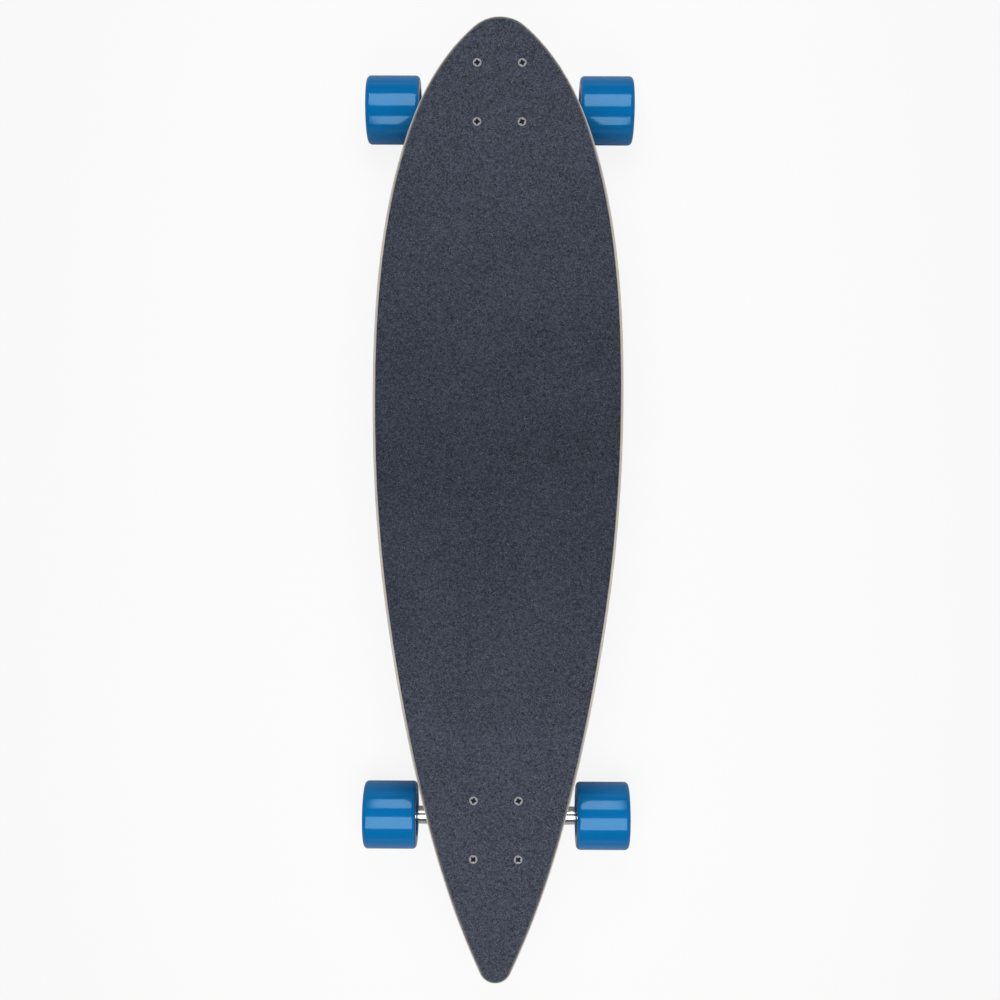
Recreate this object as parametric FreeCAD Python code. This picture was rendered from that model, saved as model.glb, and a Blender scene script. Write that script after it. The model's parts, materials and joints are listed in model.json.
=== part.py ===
import FreeCAD, Part
import math
import os

# A longboard skateboard: a cambered maple deck under grip tape, two reverse-kingpin trucks and four wheels.
# Millimetres. +Y points to the nose, +X to the right and +Z up. The origin is on the ground, below the
# middle of the deck.

V = FreeCAD.Vector
UP = V(0, 0, 1)
ACROSS = V(1, 0, 0)
SIDEWAYS = FreeCAD.Rotation(V(0, 1, 0), 90)

# Deck
DECK_LENGTH = 889.0
DECK_WIDTH = 229.0
DECK_THICKNESS = 11.0
DECK_EDGE_ROUND = 2.5
CAMBER_RISE = 8.0
NOSE_RADIUS = 36.0
NOSE_SWEEP = 41.0
TAIL_RADIUS = 15.5
TAIL_SWEEP = 65.0
# The side curve's stations: share of the length behind the nose, share of the half width.
SIDE_STATIONS = (
    (0.067, 0.559),
    (0.129, 0.760),
    (0.214, 0.913),
    (0.371, 1.000),
    (0.540, 0.952),
    (0.675, 0.817),
    (0.810, 0.600),
    (0.934, 0.306),
)
GRIP_THICKNESS = 0.8
NOSE_TO_FRONT_TRUCK = 70.0
TAIL_TO_REAR_TRUCK = 142.0
LEVEL_MARGIN = 20.0

# Deck bolts and their lock nuts
BOLT_SPACING_ACROSS = 41.3
BOLT_SPACING_ALONG = 54.0
BOLT_DIAMETER = 4.8
BOLT_HEAD_DIAMETER = 8.8
BOLT_HEAD_SINK = 0.2
BOLT_HEAD_CLEARANCE = 0.05
BOLT_HOLE_CLEARANCE = 0.3
BOLT_SPARE_LENGTH = 1.5
BOLT_TURNS = {"front": (5.0, 17.0, 0.0, 25.0), "rear": (45.0, 45.0, 17.0, -15.0)}
RECESS_SPAN = 5.2
RECESS_SLOT = 1.4
RECESS_DEPTH = 1.4
DECK_NUT_FLATS = 9.5
DECK_NUT_HEIGHT = 5.5

# Riser pad and baseplate
RISER_THICKNESS = 3.0
RISER_OVERHANG = 1.5
RISER_WINDOW_LENGTH = 36.0
RISER_WINDOW_WIDTH = 22.0
BASE_LENGTH = 84.0
BASE_WIDTH = 57.0
BASE_THICKNESS = 6.0
BASE_CORNER_RADIUS = 9.0
BASE_RIM_ROUND = 1.5
WEDGE_WIDTH = 26.0
TOWER_WIDTH = 20.0
TOWER_SETBACK = 6.0
TOWER_RIM = 4.5
TOWER_WEB = 7.0
TOWER_TUCK = 1.0
TOWER_EDGE_ROUND = 3.0
KINGPIN_WALL = 4.5
SEAT_RADIUS = 14.5
SEAT_HEIGHT = 3.0

# Steering geometry: the pivot axis climbs outwards at this angle, and the axle hangs below it by the rake.
TRUCK_ANGLE = 45.0
TRUCK_HEIGHT = 64.0
AXLE_OFFSET = 4.0
RAKE = 3.0
AXLE_TO_KINGPIN = 25.0
AXLE_TO_PIVOT = 15.0

# Pivot: a ball-ended nose in a plastic cup
PIVOT_RADIUS = 6.0
PIVOT_CLEARANCE = 0.06
PIVOT_ROOT_RADIUS = 8.5
PIVOT_REACH = 3.0
CUP_WALL = 2.5
SOCKET_WALL = 3.0

# Kingpin, bushings and washers
KINGPIN_DIAMETER = 9.5
KINGPIN_CLEARANCE = 0.2
KINGPIN_HEAD_FLATS = 14.3
KINGPIN_HEAD_HEIGHT = 6.0
KINGPIN_HEAD_SINK = 0.5
KINGPIN_POCKET_CLEARANCE = 0.5
KINGPIN_SPARE_LENGTH = 2.0
KINGPIN_NUT_HEIGHT = 9.0
BUSHING_RADIUS = 12.5
BUSHING_BULGE = 1.0
BUSHING_FOOT = 2.5
BOARD_BUSHING_HEIGHT = 15.0
ROAD_BUSHING_HEIGHT = 13.0
ROAD_BUSHING_TIP_RADIUS = 10.0
WASHER_THICKNESS = 2.0
WASHER_LIP_HEIGHT = 1.4
WASHER_LIP_WALL = 1.0
BUSHING_CLEARANCE = 0.3

# Hanger
HANGER_WIDTH = 180.0
RING_RADIUS = 17.5
RING_THICKNESS = 10.0
RING_BORE_RADIUS = 8.5
RING_SEAT_DEPTH = 2.0
RING_EDGE_ROUND = 1.5
ARM_ROOT_RADIUS = 10.0
ARM_TIP_RADIUS = 8.2
ARM_ROOT_LENGTH = 26.0
ARM_TIP_CHAMFER = 1.2
WEB_THICKNESS = 8.0
WEB_EDGE_ROUND = 2.5
WEB_REACH = 68.0
WEB_NECK = 15.0
WEB_WING = 4.0
WEB_SAG = 3.0

# Axle
AXLE_DIAMETER = 8.0
AXLE_SPARE_LENGTH = 1.9
AXLE_CHAMFER = 0.8
AXLE_NUT_FLATS = 12.7
AXLE_NUT_HEIGHT = 6.5
SPEED_WASHER_THICKNESS = 0.8

# Wheels
WHEEL_DIAMETER = 65.0
WHEEL_WIDTH = 51.0
WHEEL_LIP_RADIUS = 4.0
WHEEL_MOUTH_RADIUS = 21.0
WHEEL_MOUTH_ROUND = 1.5
WHEEL_THROAT_RADIUS = 12.5
WHEEL_SHOULDER = 1.5

# Bearings, two in each wheel with a spacer between their inner rings
BEARING_DIAMETER = 22.0
BEARING_WIDTH = 7.0
BEARING_RING_WALL = 2.0
BALL_DIAMETER = 3.97
BALL_COUNT = 7
BALL_CLEARANCE = 0.08
CAGE_THICKNESS = 1.4
CAGE_CLEARANCE = 0.13
CAGE_GRASP = 0.6
CAGE_ROOM_SHARE = 0.6
SHIELD_THICKNESS = 0.3
SHIELD_INSET = 0.2
SHIELD_CLEARANCE = 0.15
SPACER_LENGTH = 10.0
SPACER_WALL = 1.5

# Nuts and drawing
NUT_CHAMFER_ANGLE = 30.0
NUT_COLLAR_SHARE = 0.3
OVERSHOOT = 20.0

# Heights and places that follow from the sizes
AXLE_HEIGHT = WHEEL_DIAMETER / 2
FACE_HEIGHT = AXLE_HEIGHT + TRUCK_HEIGHT
DECK_UNDERSIDE = FACE_HEIGHT + RISER_THICKNESS
FRONT_TRUCK_Y = DECK_LENGTH / 2 - NOSE_TO_FRONT_TRUCK
REAR_TRUCK_Y = TAIL_TO_REAR_TRUCK - DECK_LENGTH / 2
RISER_LENGTH = BASE_LENGTH + 2 * RISER_OVERHANG
LEVEL_INBOARD = RISER_LENGTH / 2 + LEVEL_MARGIN
GRIP_FACE = DECK_THICKNESS + GRIP_THICKNESS

# The tilted frame: origin where kingpin and pivot axis cross, Y along the pivot axis, Z along the kingpin
# towards the deck. The truck's own frame has Y outwards and its origin on the mounting face.
TILT = FreeCAD.Rotation(ACROSS, TRUCK_ANGLE)
AXLE_TILTED = V(0, -AXLE_TO_KINGPIN, -RAKE)
RING_CENTRE = V(0, AXLE_OFFSET, -TRUCK_HEIGHT) - TILT.multVec(AXLE_TILTED)
TILTED_FRAME = FreeCAD.Placement(RING_CENTRE, TILT)
PIVOT_Y = -AXLE_TO_KINGPIN - AXLE_TO_PIVOT
MOUTH_Y = PIVOT_Y + PIVOT_REACH
CUP_RADIUS = PIVOT_RADIUS + CUP_WALL
SOCKET_RADIUS = CUP_RADIUS + SOCKET_WALL

# The stack along the kingpin, measured from the middle of the ring
RING_SEAT = RING_THICKNESS / 2 - RING_SEAT_DEPTH
BOARD_WASHER = RING_SEAT + BOARD_BUSHING_HEIGHT
BASE_SEAT = BOARD_WASHER + WASHER_THICKNESS
ROAD_WASHER = -RING_SEAT - ROAD_BUSHING_HEIGHT
KINGPIN_NUT = ROAD_WASHER - WASHER_THICKNESS
KINGPIN_END = KINGPIN_NUT - KINGPIN_NUT_HEIGHT - KINGPIN_SPARE_LENGTH
KINGPIN_HEAD_RADIUS = KINGPIN_HEAD_FLATS / math.sqrt(3)
HEAD_DROP = KINGPIN_HEAD_SINK + KINGPIN_HEAD_RADIUS * math.sin(math.radians(TRUCK_ANGLE))
HEAD_TOP = (-RING_CENTRE.z - HEAD_DROP) / math.cos(math.radians(TRUCK_ANGLE))
HEAD_SEAT = HEAD_TOP - KINGPIN_HEAD_HEIGHT

# The stack along the axle, measured from the board's centreline
BEARING_START = HANGER_WIDTH / 2 + SPEED_WASHER_THICKNESS
WHEEL_CENTRE = BEARING_START + BEARING_WIDTH + SPACER_LENGTH / 2
OUTER_WASHER = WHEEL_CENTRE + SPACER_LENGTH / 2 + BEARING_WIDTH
AXLE_NUT = OUTER_WASHER + SPEED_WASHER_THICKNESS
AXLE_END = AXLE_NUT + AXLE_NUT_HEIGHT + AXLE_SPARE_LENGTH
BEARING_MIDDLE = (SPACER_LENGTH + BEARING_WIDTH) / 2

# Radii inside a bearing
INNER_RING_RADIUS = AXLE_DIAMETER / 2 + BEARING_RING_WALL
OUTER_RING_RADIUS = BEARING_DIAMETER / 2 - BEARING_RING_WALL
PITCH_RADIUS = (AXLE_DIAMETER + BEARING_DIAMETER) / 4
SHIELD_INNER_FACE = BEARING_WIDTH / 2 - SHIELD_INSET - SHIELD_THICKNESS


def in_plan(u, v):
    """A point of a plan drawing."""
    return V(u, v, 0)


def in_side(u, v):
    """A point of a side drawing: along the board, then up."""
    return V(0, u, v)


def in_section(u, v):
    """A point of a turned section: radius, then height."""
    return V(u, 0, v)


def drawing(plane, start, *steps):
    """A closed face. A step is a point for a straight run, or an arc's middle and end points."""
    edges = []
    here = plane(*start)
    for step in steps + (start,):
        if isinstance(step[0], tuple):
            middle, end = plane(*step[0]), plane(*step[1])
            edges.append(Part.Arc(here, middle, end).toShape())
        else:
            end = plane(*step)
            if here.distanceToPoint(end) > 1e-6:
                edges.append(Part.makeLine(here, end))
        here = end
    return Part.Face(Part.Wire(edges))


def turned(start, *steps):
    """A solid turned about Z from a section of radius and height."""
    return drawing(in_section, start, *steps).revolve(V(0, 0, 0), UP, 360)


def tube(outer, inner, low, high):
    """A plain tube about Z."""
    return turned((inner, low), (outer, low), (outer, high), (inner, high))


def rod(radius, low, high):
    """A plain cylinder about Z."""
    return Part.makeCylinder(radius, high - low, V(0, 0, low), UP)


def moved(shape, placement):
    """A copy of a shape, carried by a placement."""
    copy = shape.copy()
    copy.Placement = placement.multiply(copy.Placement)
    return copy


def at(point, rotation=FreeCAD.Rotation()):
    """The placement that turns by a rotation and then moves to a point."""
    return FreeCAD.Placement(point, rotation)


def around(radius, count, height=0):
    """Points evenly spaced on a circle about Z."""
    angles = [2 * math.pi * k / count for k in range(count)]
    return [V(radius * math.cos(angle), radius * math.sin(angle), height) for angle in angles]


def hexagon(flats, low, high):
    """A hexagonal prism about Z."""
    corners = around(flats / math.sqrt(3), 6, low)
    return Part.Face(Part.makePolygon(corners + corners[:1])).extrude(UP * (high - low))


def dome(radius):
    """The steps of a section from a round end's tip to its equator at height 0."""
    slant = radius * math.sqrt(0.5)
    return (0, -radius), ((slant, -slant), (radius, 0))


def rounded_plate(length, width, radius, low, high):
    """A plate with round corners, centred on Z."""
    x, y = width / 2, length / 2
    lean = radius * (1 - math.sqrt(0.5))
    face = drawing(
        in_plan,
        (x - radius, -y),
        ((x - lean, -y + lean), (x, -y + radius)),
        (x, y - radius),
        ((x - lean, y - lean), (x - radius, y)),
        (-x + radius, y),
        ((-x + lean, y - lean), (-x, y - radius)),
        (-x, -y + radius),
        ((-x + lean, -y + lean), (-x + radius, -y)),
    )
    face.translate(V(0, 0, low))
    return face.extrude(UP * (high - low))


def bolt_places():
    """The four bolt axes of a truck, in its own frame."""
    return [
        V(x * BOLT_SPACING_ACROSS / 2, y * BOLT_SPACING_ALONG / 2, 0)
        for y in (1, -1)
        for x in (-1, 1)
    ]


def drilled(shape, low, high):
    """A shape with a truck's four bolt holes cut through it."""
    radius = BOLT_DIAMETER / 2 + BOLT_HOLE_CLEARANCE
    holes = [moved(rod(radius, low - OVERSHOOT, high + OVERSHOOT), at(place)) for place in bolt_places()]
    return shape.cut(holes)


def lock_nut(flats, height, bore_radius):
    """A chamfered hexagon nut with a round collar, standing on Z = 0."""
    corner = flats / math.sqrt(3)
    hexagon_height = height * (1 - NUT_COLLAR_SHARE)
    prism = hexagon(flats, 0, hexagon_height)
    slope = (corner - flats / 2) * math.tan(math.radians(NUT_CHAMFER_ANGLE))
    envelope = turned(
        (0, 0),
        (flats / 2, 0),
        (corner, slope),
        (corner, hexagon_height - slope),
        (flats / 2, hexagon_height),
        (0, hexagon_height),
    )
    collar = rod((bore_radius + flats / 2) / 2, 0, height)
    bore = rod(bore_radius, -OVERSHOOT, height + OVERSHOOT)
    return prism.common(envelope).fuse(collar).cut(bore).removeSplitter()


def smooth_curve(points, leave, arrive):
    """A curve through points that leaves and arrives in given directions."""
    curve = Part.BSplineCurve()
    curve.interpolate(Points=points, InitialTangent=leave, FinalTangent=arrive, Scale=False)
    return curve


def deck_outline(inset):
    """The deck's plan outline as a face, drawn in by an inset: round nose and tail, smooth sides."""
    nose, tail = DECK_LENGTH / 2, -DECK_LENGTH / 2
    nose_turn, tail_turn = math.radians(NOSE_SWEEP), math.radians(TAIL_SWEEP)
    nose_out = V(math.sin(nose_turn), math.cos(nose_turn), 0)
    tail_out = V(math.sin(tail_turn), -math.cos(tail_turn), 0)
    stations = [V(half * DECK_WIDTH / 2, nose - behind * DECK_LENGTH, 0) for behind, half in SIDE_STATIONS]
    stations.insert(0, V(0, nose - NOSE_RADIUS, 0) + nose_out * NOSE_RADIUS)
    stations.append(V(0, tail + TAIL_RADIUS, 0) + tail_out * TAIL_RADIUS)
    leave, arrive = V(nose_out.y, -nose_out.x, 0), V(tail_out.y, -tail_out.x, 0)
    side = smooth_curve(stations, leave, arrive)
    if inset:
        headings = [side.tangent(knot)[0] for knot in side.getKnots()]
        stations = [point + V(way.y, -way.x, 0) * inset for point, way in zip(stations, headings)]
        side = smooth_curve(stations, leave, arrive)
    right = side.toShape()
    left = right.mirror(V(0, 0, 0), ACROSS)
    front, back = stations[0], stations[-1]
    nose_arc = Part.Arc(V(-front.x, front.y, 0), V(0, nose - inset, 0), front).toShape()
    tail_arc = Part.Arc(back, V(0, tail + inset, 0), V(-back.x, back.y, 0)).toShape()
    return Part.Face(Part.Wire(Part.sortEdges([nose_arc, right, tail_arc, left])[0]))


def camber_steps(height):
    """The board's side line from tail to nose, a height above the underside, as steps of a side drawing."""
    start = REAR_TRUCK_Y + LEVEL_INBOARD
    span = FRONT_TRUCK_Y - LEVEL_INBOARD - start
    turn = 2 * math.atan(2 * CAMBER_RISE / span)
    radius = span / (4 * math.sin(turn))
    middle = start + span / 2
    level = DECK_UNDERSIDE + height
    dip, crown = radius - height, radius + height

    def valley(angle, mirror):
        return (
            middle - mirror * (span / 2 - dip * math.sin(angle)),
            DECK_UNDERSIDE + radius - dip * math.cos(angle),
        )

    shoulder_rear, shoulder_front = valley(turn, 1), valley(turn, -1)
    top = (middle, DECK_UNDERSIDE + radius - 2 * radius * math.cos(turn) + crown)
    return [
        (-DECK_LENGTH / 2 - OVERSHOOT, level),
        (start, level),
        (valley(turn / 2, 1), shoulder_rear),
        (top, shoulder_front),
        (valley(turn / 2, -1), (start + span, level)),
        (DECK_LENGTH / 2 + OVERSHOOT, level),
    ]


def cambered_slab(low, high):
    """The cambered board between two heights above its underside, larger all round than the deck."""
    lower, upper = camber_steps(low), camber_steps(high)
    back = [upper[5], upper[4][1], (upper[4][0], upper[3][1]), (upper[3][0], upper[2][1])]
    back += [(upper[2][0], upper[1]), upper[0]]
    face = drawing(in_side, lower[0], *lower[1:], *back)
    face.translate(V(-DECK_WIDTH, 0, 0))
    return face.extrude(ACROSS * 2 * DECK_WIDTH)


def outline_prism(inset):
    """The deck's outline, drawn in by an inset, as a tall prism."""
    return deck_outline(inset).extrude(UP * (DECK_UNDERSIDE + CAMBER_RISE + GRIP_FACE + OVERSHOOT))


def is_rim(edge):
    """Whether an edge runs round the board's outline, and neither up its side nor straight across it."""
    box = edge.BoundBox
    upright = box.XLength < 1e-3 and box.YLength < 1e-3
    crosswise = box.YLength < 1e-3 and box.ZLength < 1e-3
    return not upright and not crosswise


def deck_and_grip():
    """The deck with its bolt holes and countersinks, and the grip tape with its holes."""
    deck = cambered_slab(0, DECK_THICKNESS).common(outline_prism(0)).Solids[0]
    deck = deck.makeFillet(DECK_EDGE_ROUND, [edge for edge in deck.Edges if is_rim(edge)])
    grip = cambered_slab(DECK_THICKNESS, GRIP_FACE).common(outline_prism(DECK_EDGE_ROUND)).Solids[0]
    head_top = DECK_UNDERSIDE + GRIP_FACE - BOLT_HEAD_SINK
    head_radius = BOLT_HEAD_DIAMETER / 2 + BOLT_HEAD_CLEARANCE
    shank_radius = BOLT_DIAMETER / 2 + BOLT_HOLE_CLEARANCE
    sink = turned(
        (0, head_top - BOLT_HEAD_DIAMETER),
        (shank_radius, head_top - BOLT_HEAD_DIAMETER),
        (shank_radius, head_top + shank_radius - head_radius),
        (head_radius, head_top),
        (head_radius, head_top + OVERSHOOT),
        (0, head_top + OVERSHOOT),
    )
    drill = rod(shank_radius, DECK_UNDERSIDE - OVERSHOOT, head_top)
    cuts = []
    for frame in TRUCKS.values():
        for place in bolt_places():
            spot = frame.multVec(place)
            spot.z = 0
            cuts += [moved(sink, at(spot)), moved(drill, at(spot))]
    return deck.cut(cuts), grip.cut(cuts)


def deck_bolt(turn):
    """A countersunk bolt, head up, with its head's top on Z = 0 and a cross recess turned by an angle."""
    shank, head = BOLT_DIAMETER / 2, BOLT_HEAD_DIAMETER / 2
    grip_length = GRIP_FACE - BOLT_HEAD_SINK + RISER_THICKNESS + BASE_THICKNESS
    length = grip_length + DECK_NUT_HEIGHT + BOLT_SPARE_LENGTH
    bolt = turned((0, -length), (shank, -length), (shank, shank - head), (head, 0), (0, 0))
    slot = Part.makeBox(RECESS_SPAN, RECESS_SLOT, RECESS_DEPTH)
    slot.translate(V(-RECESS_SPAN / 2, -RECESS_SLOT / 2, -RECESS_DEPTH))
    cross = moved(slot, at(V(0, 0, 0), FreeCAD.Rotation(UP, 90)))
    point = Part.makeCone(RECESS_SLOT / 2, RECESS_SLOT * 1.4, RECESS_DEPTH, V(0, 0, -RECESS_DEPTH))
    bolt = bolt.cut([slot, cross, point])
    return moved(bolt, at(V(0, 0, 0), FreeCAD.Rotation(UP, turn)))


def riser_pad():
    """The pad between deck and baseplate, with a window in its middle."""
    corner = BASE_CORNER_RADIUS + RISER_OVERHANG
    pad = rounded_plate(RISER_LENGTH, BASE_WIDTH + 2 * RISER_OVERHANG, corner, 0, RISER_THICKNESS)
    window = rounded_plate(
        RISER_WINDOW_LENGTH, RISER_WINDOW_WIDTH, RISER_WINDOW_WIDTH / 3, -OVERSHOOT, OVERSHOOT
    )
    return drilled(pad.cut(window), 0, RISER_THICKNESS)


def side_of_tilted(y, z):
    """The side-drawing point of the truck's frame for a point of the tilted frame."""
    point = TILTED_FRAME.multVec(V(0, y, z))
    return (point.y, point.z)


def runs_beside(edge, point):
    """Whether an edge lies along the board and its middle differs from a point only across the board."""
    middle = edge.CenterOfMass
    return edge.BoundBox.XLength < 1e-3 and math.hypot(middle.y - point.y, middle.z - point.z) < 1e-3


def baseplate():
    """The cast baseplate: bolted plate, kingpin wedge, and a tower that ends in the pivot socket."""
    plate = rounded_plate(BASE_LENGTH, BASE_WIDTH, BASE_CORNER_RADIUS, -BASE_THICKNESS, 0)
    rim = [edge for edge in plate.Edges if edge.BoundBox.ZMax < -BASE_THICKNESS / 2]
    plate = plate.makeFillet(BASE_RIM_ROUND, rim)

    # The tower's back runs down to the round socket, tucked a little inside its skin.
    root = (-BASE_LENGTH / 2 + TOWER_SETBACK, -BASE_THICKNESS / 2)
    socket = side_of_tilted(PIVOT_Y, 0)
    reach = math.hypot(socket[0] - root[0], socket[1] - root[1])
    tuck = SOCKET_RADIUS - TOWER_TUCK
    heading = math.atan2(socket[1] - root[1], socket[0] - root[0]) - math.asin(tuck / reach)
    run = math.sqrt(reach**2 - tuck**2)
    heel = (root[0] + run * math.cos(heading), root[1] + run * math.sin(heading))
    mouth = side_of_tilted(MOUTH_Y, tuck)
    seat_low = side_of_tilted(-SEAT_RADIUS - SEAT_HEIGHT, BASE_SEAT + SEAT_HEIGHT)
    climb = (-BASE_THICKNESS / 2 - seat_low[1]) / math.sin(math.radians(TRUCK_ANGLE))
    slope_top = (seat_low[0] + climb * math.cos(math.radians(TRUCK_ANGLE)), -BASE_THICKNESS / 2)
    profile = drawing(in_side, root, heel, socket, mouth, seat_low, slope_top)
    tower = profile.extrude(ACROSS * TOWER_WIDTH)
    tower.translate(ACROSS * (-TOWER_WIDTH / 2))
    back_middle = in_side((root[0] + heel[0]) / 2, (root[1] + heel[1]) / 2)
    back_edges = [edge for edge in tower.Edges if runs_beside(edge, back_middle)]
    tower = tower.makeFillet(TOWER_EDGE_ROUND, back_edges)

    # The wedge under the kingpin is wider than the tower behind it.
    wedge = profile.extrude(ACROSS * WEDGE_WIDTH)
    wedge.translate(ACROSS * (-WEDGE_WIDTH / 2))
    front_room = Part.makeBox(WEDGE_WIDTH, 4 * BASE_LENGTH, 4 * BASE_LENGTH)
    front_room.translate(V(-WEDGE_WIDTH / 2, -SEAT_RADIUS, -2 * BASE_LENGTH))
    wedge = wedge.common(moved(front_room, TILTED_FRAME))
    seat = moved(rod(SEAT_RADIUS, BASE_SEAT, BASE_SEAT + 2 * SEAT_HEIGHT), TILTED_FRAME)
    ball = moved(Part.makeSphere(SOCKET_RADIUS, V(0, PIVOT_Y, 0)), TILTED_FRAME)
    barrel = Part.makeCylinder(SOCKET_RADIUS, PIVOT_REACH, V(0, PIVOT_Y, 0), V(0, 1, 0))
    casting = plate.fuse([tower, wedge, seat, ball, moved(barrel, TILTED_FRAME)])
    ahead_of_mouth = Part.makeBox(4 * SOCKET_RADIUS, 2 * SOCKET_RADIUS, 2 * SOCKET_RADIUS)
    ahead_of_mouth.translate(V(-2 * SOCKET_RADIUS, MOUTH_Y, -SOCKET_RADIUS))
    casting = casting.cut(moved(ahead_of_mouth, TILTED_FRAME))

    # Pockets on both sides of the tower leave a rim round a web.
    pocket_face = profile.makeOffset2D(-TOWER_RIM)
    pocket = pocket_face.extrude(ACROSS * WEDGE_WIDTH)
    keep = Part.makeBox(4 * WEDGE_WIDTH, 4 * BASE_LENGTH, 8 * BASE_LENGTH)
    keep.translate(V(-2 * WEDGE_WIDTH, -KINGPIN_DIAMETER / 2 - KINGPIN_WALL, -4 * BASE_LENGTH))
    pocket = pocket.cut([moved(keep, TILTED_FRAME), ball])
    right_pocket = pocket.translated(ACROSS * (TOWER_WEB / 2))
    left_pocket = pocket.translated(ACROSS * (-TOWER_WEB / 2 - WEDGE_WIDTH))

    shank = rod(KINGPIN_DIAMETER / 2 + KINGPIN_CLEARANCE / 2, -OVERSHOOT, HEAD_SEAT + OVERSHOOT)
    head_room = rod(KINGPIN_HEAD_RADIUS + KINGPIN_POCKET_CLEARANCE, HEAD_SEAT, HEAD_SEAT + BASE_LENGTH)
    cup = pivot_cup_blank(CUP_RADIUS, PIVOT_RADIUS)
    cuts = [moved(cut, TILTED_FRAME) for cut in (shank, head_room, cup)]
    casting = casting.cut(cuts + [right_pocket, left_pocket])
    return drilled(casting, -BASE_THICKNESS, 0)


def pivot_cup_blank(radius, overshoot):
    """A round-ended plug on the pivot axis, from past the socket's mouth to below the pivot's ball."""
    reach = PIVOT_REACH + overshoot
    plug = turned(*dome(radius), (radius, reach), (0, reach))
    return moved(plug, at(V(0, PIVOT_Y, 0), FreeCAD.Rotation(ACROSS, -90)))


def pivot_cup():
    """The plastic cup that lines the pivot socket."""
    bore = pivot_cup_blank(PIVOT_RADIUS + PIVOT_CLEARANCE, PIVOT_RADIUS)
    return moved(pivot_cup_blank(CUP_RADIUS, 0).cut(bore), TILTED_FRAME)


def kingpin():
    """The kingpin: a hexagon-headed bolt from the baseplate's pocket out through the nut."""
    radius = KINGPIN_DIAMETER / 2
    shank = turned(
        (0, KINGPIN_END),
        (radius - AXLE_CHAMFER, KINGPIN_END),
        (radius, KINGPIN_END + AXLE_CHAMFER),
        (radius, HEAD_SEAT),
        (0, HEAD_SEAT),
    )
    head = hexagon(KINGPIN_HEAD_FLATS, HEAD_SEAT, HEAD_TOP)
    return moved(shank.fuse(head), TILTED_FRAME)


def kingpin_nut():
    """The lock nut on the road side, its collar outwards."""
    nut = lock_nut(KINGPIN_HEAD_FLATS, KINGPIN_NUT_HEIGHT, KINGPIN_DIAMETER / 2)
    flip = at(V(0, 0, KINGPIN_NUT), FreeCAD.Rotation(ACROSS, 180))
    return moved(nut, TILTED_FRAME.multiply(flip))


def cupped_washer(foot_radius):
    """A washer with a low rim round a bushing's foot, its back on Z = 0."""
    bore = KINGPIN_DIAMETER / 2 + KINGPIN_CLEARANCE
    inside = foot_radius + BUSHING_CLEARANCE
    outside = inside + WASHER_LIP_WALL
    top = WASHER_THICKNESS + WASHER_LIP_HEIGHT
    return turned(
        (bore, 0),
        (outside, 0),
        (outside, top),
        (inside, top),
        (inside, WASHER_THICKNESS),
        (bore, WASHER_THICKNESS),
    )


def bushing_washers():
    """The cupped washers at the two ends of the bushing stack."""
    board = moved(cupped_washer(BUSHING_RADIUS), at(V(0, 0, BASE_SEAT), FreeCAD.Rotation(ACROSS, 180)))
    road = moved(cupped_washer(ROAD_BUSHING_TIP_RADIUS), at(V(0, 0, KINGPIN_NUT)))
    return [moved(board, TILTED_FRAME), moved(road, TILTED_FRAME)]


def board_side_bushing():
    """A barrel between the ring and the baseplate's washer."""
    bore = KINGPIN_DIAMETER / 2 + KINGPIN_CLEARANCE
    low, high = RING_SEAT, BOARD_WASHER
    barrel = turned(
        (bore, low),
        (BUSHING_RADIUS, low),
        (BUSHING_RADIUS, low + BUSHING_FOOT),
        ((BUSHING_RADIUS + BUSHING_BULGE, (low + high) / 2), (BUSHING_RADIUS, high - BUSHING_FOOT)),
        (BUSHING_RADIUS, high),
        (bore, high),
    )
    return moved(barrel, TILTED_FRAME)


def road_side_bushing():
    """A cone between the ring and the washer at the nut."""
    bore = KINGPIN_DIAMETER / 2 + KINGPIN_CLEARANCE
    wide, narrow = -RING_SEAT, ROAD_WASHER
    cone = turned(
        (bore, narrow),
        (ROAD_BUSHING_TIP_RADIUS, narrow),
        (ROAD_BUSHING_TIP_RADIUS, narrow + BUSHING_FOOT),
        (BUSHING_RADIUS, wide - BUSHING_FOOT),
        (BUSHING_RADIUS, wide),
        (bore, wide),
    )
    return moved(cone, TILTED_FRAME)


def hanger_arms():
    """The hanger's two arms round the axle, thickest at the middle."""
    half = HANGER_WIDTH / 2
    bore = AXLE_DIAMETER / 2
    arms = turned(
        (bore, -half),
        (ARM_TIP_RADIUS - ARM_TIP_CHAMFER, -half),
        (ARM_TIP_RADIUS, -half + ARM_TIP_CHAMFER),
        (ARM_ROOT_RADIUS, -ARM_ROOT_LENGTH),
        (ARM_ROOT_RADIUS, ARM_ROOT_LENGTH),
        (ARM_TIP_RADIUS, half - ARM_TIP_CHAMFER),
        (ARM_TIP_RADIUS - ARM_TIP_CHAMFER, half),
        (bore, half),
    )
    return moved(arms, at(AXLE_TILTED, SIDEWAYS))


def hanger_ring():
    """The solid round block that becomes the kingpin's ring, its edges rounded as cast."""
    half = RING_THICKNESS / 2
    inside = RING_RADIUS - RING_EDGE_ROUND
    lean = RING_EDGE_ROUND * (1 - math.sqrt(0.5))
    return turned(
        (0, -half),
        (inside, -half),
        ((RING_RADIUS - lean, -half + lean), (RING_RADIUS, -half + RING_EDGE_ROUND)),
        (RING_RADIUS, half - RING_EDGE_ROUND),
        ((RING_RADIUS - lean, half - lean), (inside, half)),
        (0, half),
    )


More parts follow.
